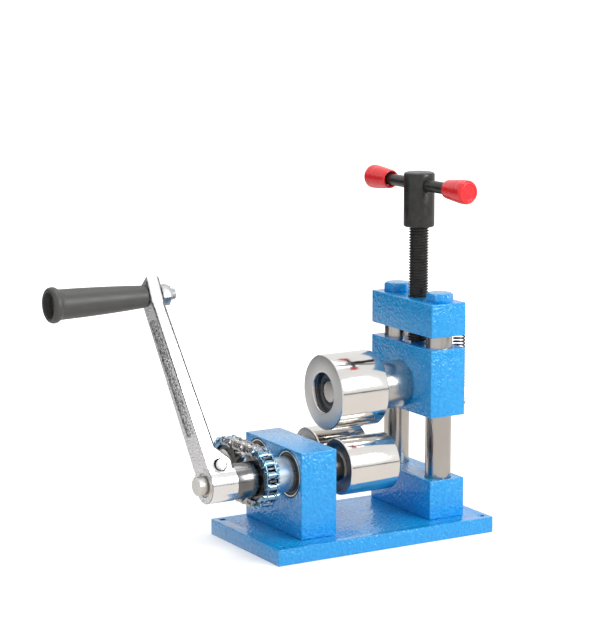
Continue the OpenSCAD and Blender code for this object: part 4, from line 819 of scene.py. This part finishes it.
# %% Painted blocks of the tower
post_places = [middle("front_guide_post"), middle("back_guide_post")]
post_seat_r, post_cut = 11.52 * mm, 52 * mm
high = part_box("post_block")[1]
painted_block("post_block_painted", "post_block",
              [(upright, (p.x, p.y, high[2]), post_seat_r, post_cut) for p in post_places])

slide_bore_r, axle_bore_r, tip_bore_r, tip_cut = 11.55 * mm, 10.02 * mm, 6.05 * mm, 18 * mm
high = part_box("slide_block")[1]
mid = middle("slide_block")
painted_block("slide_block_painted", "slide_block",
              [(upright, (p.x, p.y, mid.z), slide_bore_r, through) for p in post_places]
              + [(lengthwise, (mid.x, axle_axis.y, axle_axis.z), axle_bore_r, through),
                 (upright, (tower_axis.x, tower_axis.y, high[2]), tip_bore_r, tip_cut)], body="slide")

top_bolt_r, screw_bore_r = 7.25 * mm, 9.05 * mm
mid = middle("top_block")
painted_block("top_block_painted", "top_block",
              [(upright, (p.x, p.y, mid.z), top_bolt_r, through) for p in post_places]
              + [(upright, (tower_axis.x, tower_axis.y, mid.z), screw_bore_r, through)])

# %% [markdown]
# The base plate has a hole in each corner for the bench, and four sunk holes below for the screws that hold
# the blocks.

# %% Base plate
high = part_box("base_plate")[1]
bench_x, bench_y, bench_r = 102.5 * mm, 52.5 * mm, 3 * mm
bores = [(upright, (x * bench_x, y * bench_y, high[2] / 2), bench_r, through) for x in (-1, 1) for y in (-1, 1)]
screw_reach, screw_head_r, screw_head_cut = 30 * mm, 7 * mm, 17 * mm
screw_places = [(block_mid.x, block_mid.y - screw_reach), (block_mid.x, block_mid.y + screw_reach)]
screw_places += [(p.x, p.y) for p in post_places]
bores += [(upright, (x, y, 0), screw_head_r, screw_head_cut) for x, y in screw_places]
painted_block("base_plate_painted", "base_plate", bores, 1.0 * mm)

# %% [markdown]
# ## Softened copies
# Some solids have the right shape but knife edges: the crank, the nuts, the bolts and the sprockets. They
# could be built again, but a copy keeps their sizes. It is merged into one skin, its flat faces are joined, and
# a Bevel rounds its edges. The hubs of the sprockets are turned bright, and their steel is tinted blue, a painted
# reflection of the blue bearing block.

# %% Softened copies
def soft_copy(name, node, width):
    work_on(frame["nodes"][node])
    bpy.ops.object.duplicate()
    piece = bpy.context.object
    piece.name = name
    bpy.ops.object.parent_clear(type="CLEAR_KEEP_TRANSFORM")
    for mark in list(piece.keys()):
        if mark.startswith("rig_"):
            del piece[mark]
    bpy.ops.mesh.customdata_custom_splitnormals_clear()
    bpy.ops.object.mode_set(mode="EDIT")
    bpy.ops.mesh.select_all(action="SELECT")
    bpy.ops.mesh.remove_doubles(threshold=2e-6)
    bpy.ops.mesh.dissolve_limited(angle_limit=math.radians(1.0))
    bpy.ops.object.mode_set(mode="OBJECT")
    soften(piece, width, 2, 30, 35)
    return piece

toothed_length = 8 * mm
for name, node, width, finish, slot, body in (
        ("handle_nut_soft", "handle_nut", 0.4, zinc_bright, "zinc", "drive"),
        ("cotter_nut_soft", "cotter_nut", 0.3, zinc_bright, "zinc", "drive"),
        ("cotter_pin_soft", "cotter_pin", 0.3, crank_plate, "crank_chrome", "drive"),
        ("handle_bolt_soft", "handle_bolt", 0.4, zinc_bright, "zinc", "drive"),
        ("crank_spacer_soft", "crank_spacer", 0.6, steel_spacer, "dark_steel", "drive"),
        ("top_bolts_soft", "top_bolts", 0.4, enamel_blue, "blue_paint", "frame"),
        ("upper_axle_nut_soft", "upper_axle_nut", 0.4, zinc_bright, "zinc", "slide"),
        ("upper_spring_screws_soft", "upper_spring_screws", 0.3, zinc_bright, "zinc", "frame"),
        ("lower_spring_screws_soft", "lower_spring_screws", 0.3, zinc_bright, "zinc", "slide"),
        ("drive_sprocket_soft", "drive_sprocket", 0.4, steel_dark, "dark_steel", "drive"),
        ("driven_sprocket_soft", "driven_sprocket", 0.4, steel_dark, "dark_steel", "driven")):
    piece = soft_copy(name, node, width * mm)
    hand_over(piece, finish, slot, body, node)
    if "sprocket" in node:
        piece.data.materials.append(steel_drive_hub if body == "drive" else steel_driven_hub)
        hub_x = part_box(node)[0][0] + toothed_length
        for face in piece.data.polygons:
            face.material_index = 1 if face.center.x > hub_x else 0

# %% [markdown]
# The crank gets wider rounds along its arm and round its end, as a forging has. They could be left to one
# Bevel modifier, but that would also round the small edges of the panel, so the edges are picked in code: those
# of the flat outer face first, then those of the inner face. The faces are sorted by where they look. Those that
# look outwards take the forged skin, or the finish of the panel where the arm leans, and the rounds take the
# darker edge finish, which is painted shade. A wider bore leaves a dark ring round the head of the cotter pin.

# %% Crank arm
crank = soft_copy("crank_arm_forged", "crank_arm", 0)
head_reach, head_room_r, head_cut = 13 * mm, 5.6 * mm, 20 * mm
cut_bore(crank, across, middle("cotter_pin") + across * head_reach, head_room_r, head_cut)
work_on(crank)
panel_half, shortest_edge, past_bolt = 6.5 * mm, 9 * mm, 178 * mm
outer_side, inner_side = (-1, 1.8 * mm), (1, 2.8 * mm)
for side, radius in (outer_side, inner_side):
    for item in (crank.data.vertices, crank.data.polygons):
        item.foreach_set("select", [False] * len(item))
    flat_faces = {}
    for face in crank.data.polygons:
        if face.normal.x * side > 0.9:
            for key in face.edge_keys:
                flat_faces[key] = flat_faces.get(key, 0) + 1
    for edge in crank.data.edges:
        a, b = (crank.data.vertices[k].co for k in edge.vertices)
        runs_along = (b - a).length > shortest_edge and abs((b - a).normalized().dot(arm_way)) > 0.9
        place = (a + b) / 2 - drive_axis
        at_rim = runs_along and abs(place.dot(across)) > panel_half
        edge.select = (at_rim or place.dot(arm_way) > past_bolt) and flat_faces.get(edge.key) == 1
    print("arm edges to round:", sum(edge.select for edge in crank.data.edges))
    bpy.ops.object.mode_set(mode="EDIT")
    bpy.ops.mesh.bevel(offset=radius, segments=4, affect="EDGES")
    bpy.ops.object.mode_set(mode="OBJECT")
soften(crank, 0.4 * mm, 2, 30, 40, clamp=False)
hand_over(crank, crank_plate, "crank_chrome", "drive", "crank_arm")
for finish in (crank_skin, crank_panel, crank_edge_shade):
    crank.data.materials.append(finish)
plate, skin, panel, rounded = range(4)
for face in crank.data.polygons:
    look, lean = face.normal.x, abs(face.normal.dot(arm_way))
    if look < -0.95:
        face.material_index = panel if lean > 0.05 else skin
    else:
        face.material_index = plate if abs(look) < 0.15 or look > 0.95 else rounded

# %% [markdown]
# ## The chain
# A chain is one link repeated. One side plate is made from a cube whose corners are rounded and whose
# middle is drawn in, and one roller and one pin are turned. Copies then go round the two sprockets.

# %% Joints of the chain
chain_middle = middle("chain_pins")
pitch, teeth, runs, phase = 10.16 * mm, 14, 5, math.radians(-4.8)
pitch_r = pitch / 2 / math.sin(math.pi / teeth)
step = 2 * math.pi / teeth

def on_sprocket(axis_point, angle):
    y, z = axis_point.y + pitch_r * math.cos(angle), axis_point.z + pitch_r * math.sin(angle)
    return Vector((chain_middle.x, y, z))

def chain_joint(i):
    wrap, first = teeth // 2, math.pi / 2 + phase
    i %= 2 * runs + teeth
    if i <= runs:
        return on_sprocket(drive_axis, first) + Vector((0, i * pitch, 0))
    if i <= runs + wrap:
        return on_sprocket(driven_axis, first - (i - runs) * step)
    if i <= 2 * runs + wrap:
        return on_sprocket(driven_axis, first - math.pi) - Vector((0, (i - runs - wrap) * pitch, 0))
    return on_sprocket(drive_axis, first - math.pi - (i - 2 * runs - wrap) * step)

chain_links = 2 * runs + teeth
print("chain of", chain_links, "links")

# %% Side plates of the chain
plate_thickness, plate_height, plate_waist, plate_round = 1.05 * mm, 8.4 * mm, 0.70, 3.9 * mm

def chain_plate(name):
    clear_selection()
    bpy.ops.mesh.primitive_cube_add(size=1, location=(0, pitch / 2, 0))
    plate = bpy.context.object
    plate.name = name
    plate.scale = (plate_thickness, pitch + plate_height, plate_height)
    bpy.ops.object.transform_apply(location=True, rotation=True, scale=True)
    bpy.ops.object.mode_set(mode="EDIT")
    bpy.ops.mesh.select_all(action="SELECT")
    bpy.ops.mesh.bisect(plane_co=(0, pitch / 2, 0), plane_no=(0, 1, 0))
    bpy.ops.mesh.select_all(action="DESELECT")
    bpy.ops.object.mode_set(mode="OBJECT")
    for vertex in plate.data.vertices:
        vertex.select = abs(vertex.co.y - pitch / 2) < 1e-5
    bpy.ops.object.mode_set(mode="EDIT")
    bpy.ops.transform.resize(value=(1, 1, plate_waist), center_override=(0, pitch / 2, 0))
    bpy.ops.mesh.select_all(action="DESELECT")
    bpy.ops.object.mode_set(mode="OBJECT")
    for edge in plate.data.edges:
        a, b = (plate.data.vertices[k].co for k in edge.vertices)
        edge.select = abs(a.y - b.y) < 1e-6 and abs(a.z - b.z) < 1e-6 and abs(a.y - pitch / 2) > 1e-4
    bpy.ops.object.mode_set(mode="EDIT")
    bpy.ops.mesh.bevel(offset=plate_round, segments=8, affect="EDGES")
    bpy.ops.object.mode_set(mode="OBJECT")
    soften(plate, 0.25 * mm, 2, 50, 40)
    return plate

def lay_copies(name, model, places):
    copies = []
    for place, turn in places:
        work_on(model)
        bpy.ops.object.duplicate()
        copy = bpy.context.object
        copy.location = place
        copy.rotation_euler = (turn, 0, 0)
        copies.append(copy)
    bpy.data.objects.remove(model)
    work_on(*copies)
    bpy.ops.object.transform_apply(location=True, rotation=True, scale=True)
    bpy.ops.object.join()
    piece = bpy.context.object
    piece.name = name
    return piece

def plate_places(first, inside):
    places = []
    for i in range(first, chain_links, 2):
        here, there = chain_joint(i), chain_joint(i + 1)
        turn = math.atan2(there.z - here.z, there.y - here.y)
        for side in (-1, 1):
            places.append((here + Vector((side * inside, 0, 0)), turn))
    return places

outer_reach, inner_reach = 5.525 * mm, 4.375 * mm
outer = lay_copies("chain_outer_links", chain_plate("outer_plate"), plate_places(0, outer_reach))
hand_over(outer, steel_chain, "dark_steel", "frame", "chain_outer_plates")
inner = lay_copies("chain_inner_links", chain_plate("inner_plate"), plate_places(1, inner_reach))
hand_over(inner, steel_chain, "dark_steel", "frame", "chain_inner_plates")

# %% [markdown]
# A roller is a short tube with broken rims, and a pin is a rod with riveted ends. Both are alike at either end,
# so half of a profile is written down, in millimetres, and the other half mirrors it.

# %% Rollers and pins of the chain
def both_ends(half_profile):
    return [(a * mm, b * mm) for a, b in half_profile] + [(-a * mm, b * mm) for a, b in reversed(half_profile)]

joints = [(chain_joint(i), 0) for i in range(chain_links)]
roller_profile = both_ends([(-3.75, 2.45), (-3.75, 3.0), (-3.45, 3.3)])
roller = turn_profile("chain_roller", roller_profile + roller_profile[:1], (1, 0, 0), (0, 0, 0), 32)
soften(roller, 0)
rollers = lay_copies("chain_rollers_round", roller, joints)
hand_over(rollers, steel_chain, "dark_steel", "frame", "chain_rollers")
pin_profile = both_ends([(-6.45, 0), (-6.45, 0.9), (-6.25, 1.5), (-5.95, 1.7)])
pin = turn_profile("chain_pin", pin_profile, (1, 0, 0), (0, 0, 0), 24)
soften(pin, 0)
pins = lay_copies("chain_pins_riveted", pin, joints)
hand_over(pins, steel_dark, "dark_steel", "frame", "chain_pins")

# %% [markdown]
# ## The thread of the screw
# The solid shows its thread as plain rings. Here it is a true helix: one tooth of the profile is carried
# round and up by a Screw modifier, cut level at both ends and set on its plain tip and spigot.

# %% Lead screw
def threaded_rod(name, crest_r, root_r, thread_pitch, z0, z1, centre, steps=48):
    clear_selection()
    bpy.ops.mesh.primitive_plane_add(size=0.001, location=(0, 0, 0))
    rod = bpy.context.object
    rod.name = name
    corners = [(root_r, 0.0), (root_r, 0.14), (crest_r, 0.43), (crest_r, 0.57), (root_r, 0.86), (root_r, 1.0)]
    points = [Vector((r, 0, (share - 1) * thread_pitch)) for r, share in corners]
    bpy.ops.object.mode_set(mode="EDIT")
    bpy.ops.mesh.select_all(action="SELECT")
    bpy.ops.mesh.merge(type="CENTER")
    bpy.ops.transform.translate(value=points[0])
    for here, there in zip(points, points[1:]):
        bpy.ops.mesh.extrude_region_move(TRANSFORM_OT_translate={"value": there - here})
    bpy.ops.object.mode_set(mode="OBJECT")
    turns = math.ceil((z1 - z0) / thread_pitch) + 2
    apply_modifier(rod, "SCREW", axis="Z", angle=2 * math.pi, screw_offset=thread_pitch, iterations=turns,
                   steps=steps, render_steps=steps, use_merge_vertices=True, merge_threshold=1e-6)
    bpy.ops.object.mode_set(mode="EDIT")
    bpy.ops.mesh.select_all(action="SELECT")
    bpy.ops.mesh.remove_doubles(threshold=2e-6)
    bpy.ops.mesh.select_all(action="SELECT")
    bpy.ops.mesh.bisect(plane_co=(0, 0, 0), plane_no=(0, 0, 1), use_fill=True, clear_inner=True)
    bpy.ops.mesh.select_all(action="SELECT")
    bpy.ops.mesh.bisect(plane_co=(0, 0, z1 - z0), plane_no=(0, 0, 1), use_fill=True, clear_outer=True)
    bpy.ops.mesh.select_all(action="SELECT")
    bpy.ops.mesh.normals_make_consistent(inside=False)
    bpy.ops.object.mode_set(mode="OBJECT")
    rod.location = (centre[0], centre[1], z0)
    bpy.ops.object.transform_apply(location=True, rotation=True, scale=True)
    return rod

low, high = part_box("lead_screw")
slide_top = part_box("slide_block")[1][2]
head_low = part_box("screw_head")[0][2]
crest_r, root_r, thread_pitch = 9 * mm, 7.65 * mm, 2.5 * mm
tip_r, tip_break, spigot_r = 6 * mm, 1 * mm, 6.5 * mm
thread_low = slide_top + 1 * mm
screw_foot = (tower_axis.x, tower_axis.y, 0)
thread = threaded_rod("lead_screw_threaded", crest_r, root_r, thread_pitch, thread_low, head_low, tower_axis)
tip = turn_profile("screw_tip", [(low[2], 0), (low[2], tip_r - tip_break), (low[2] + tip_break, tip_r),
                   (thread_low, tip_r), (thread_low, 0)], (0, 0, 1), screw_foot, 48)
spigot = turn_profile("screw_spigot", [(head_low, 0), (head_low, spigot_r), (high[2], spigot_r), (high[2], 0)],
                      (0, 0, 1), screw_foot, 48)
work_on(thread, tip, spigot)
bpy.ops.object.join()
soften(thread, 0, smooth=30)
hand_over(thread, black_oxide, "black_oxide", "screw", "lead_screw")

# %% [markdown]
# ## Return springs
# Two springs behind the tower lift the slide. Each is one wire: a hook round its lower screw, a leg, the
# curls, a leg and a hook round its upper screw. The wire is a curve with a round bevel, made a mesh.

# %% Return springs
hook_r, coil_r, wire_r, curls, curl_steps = 3.1 * mm, 5.05 * mm, 0.75 * mm, 22, 24
lower_leg, upper_leg, leg_bend = 12.8 * mm, 8.6 * mm, 3 * mm
hook_sweep, hook_steps, lower_hook_start = 210, 16, 150

def hook_points(z, start):
    turns = [math.radians(start + hook_sweep * i / hook_steps) for i in range(hook_steps + 1)]
    return [Vector((0, hook_r * math.cos(a), z + hook_r * math.sin(a))) for a in turns]

def return_spring(name, node):
    mid = middle(node)
    z0 = middle("lower_spring_screws").z
    z1 = middle("upper_spring_screws").z
    c0, c1 = z0 + lower_leg, z1 - upper_leg
    points = hook_points(z0, lower_hook_start) + [Vector((0, hook_r, c0 - leg_bend))]
    n = curls * curl_steps
    for i in range(n + 1):
        a = math.pi / 2 + i * 2 * math.pi / curl_steps
        points.append(Vector((coil_r * math.cos(a), coil_r * math.sin(a), c0 + (c1 - c0) * i / n)))
    points += [Vector((0, hook_r, c1 + leg_bend))] + hook_points(z1, 0)
    wire = bpy.data.curves.new(name, "CURVE")
    wire.dimensions = "3D"
    wire.bevel_depth = wire_r
    wire.bevel_resolution = 2
    wire.use_fill_caps = True
    line = wire.splines.new("POLY")
    line.points.add(len(points) - 1)
    for spot, p in zip(line.points, points):
        spot.co = (mid.x + p.x, mid.y + p.y, p.z, 1)
    piece = bpy.data.objects.new(name, wire)
    bpy.context.scene.collection.objects.link(piece)
    work_on(piece)
    bpy.ops.object.convert(target="MESH")
    piece = bpy.context.object
    soften(piece, 0, smooth=60)
    hand_over(piece, spring_wire, "spring_steel", None, node)
    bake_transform(piece)

return_spring("front_spring_wound", "front_return_spring")
return_spring("back_spring_wound", "back_return_spring")
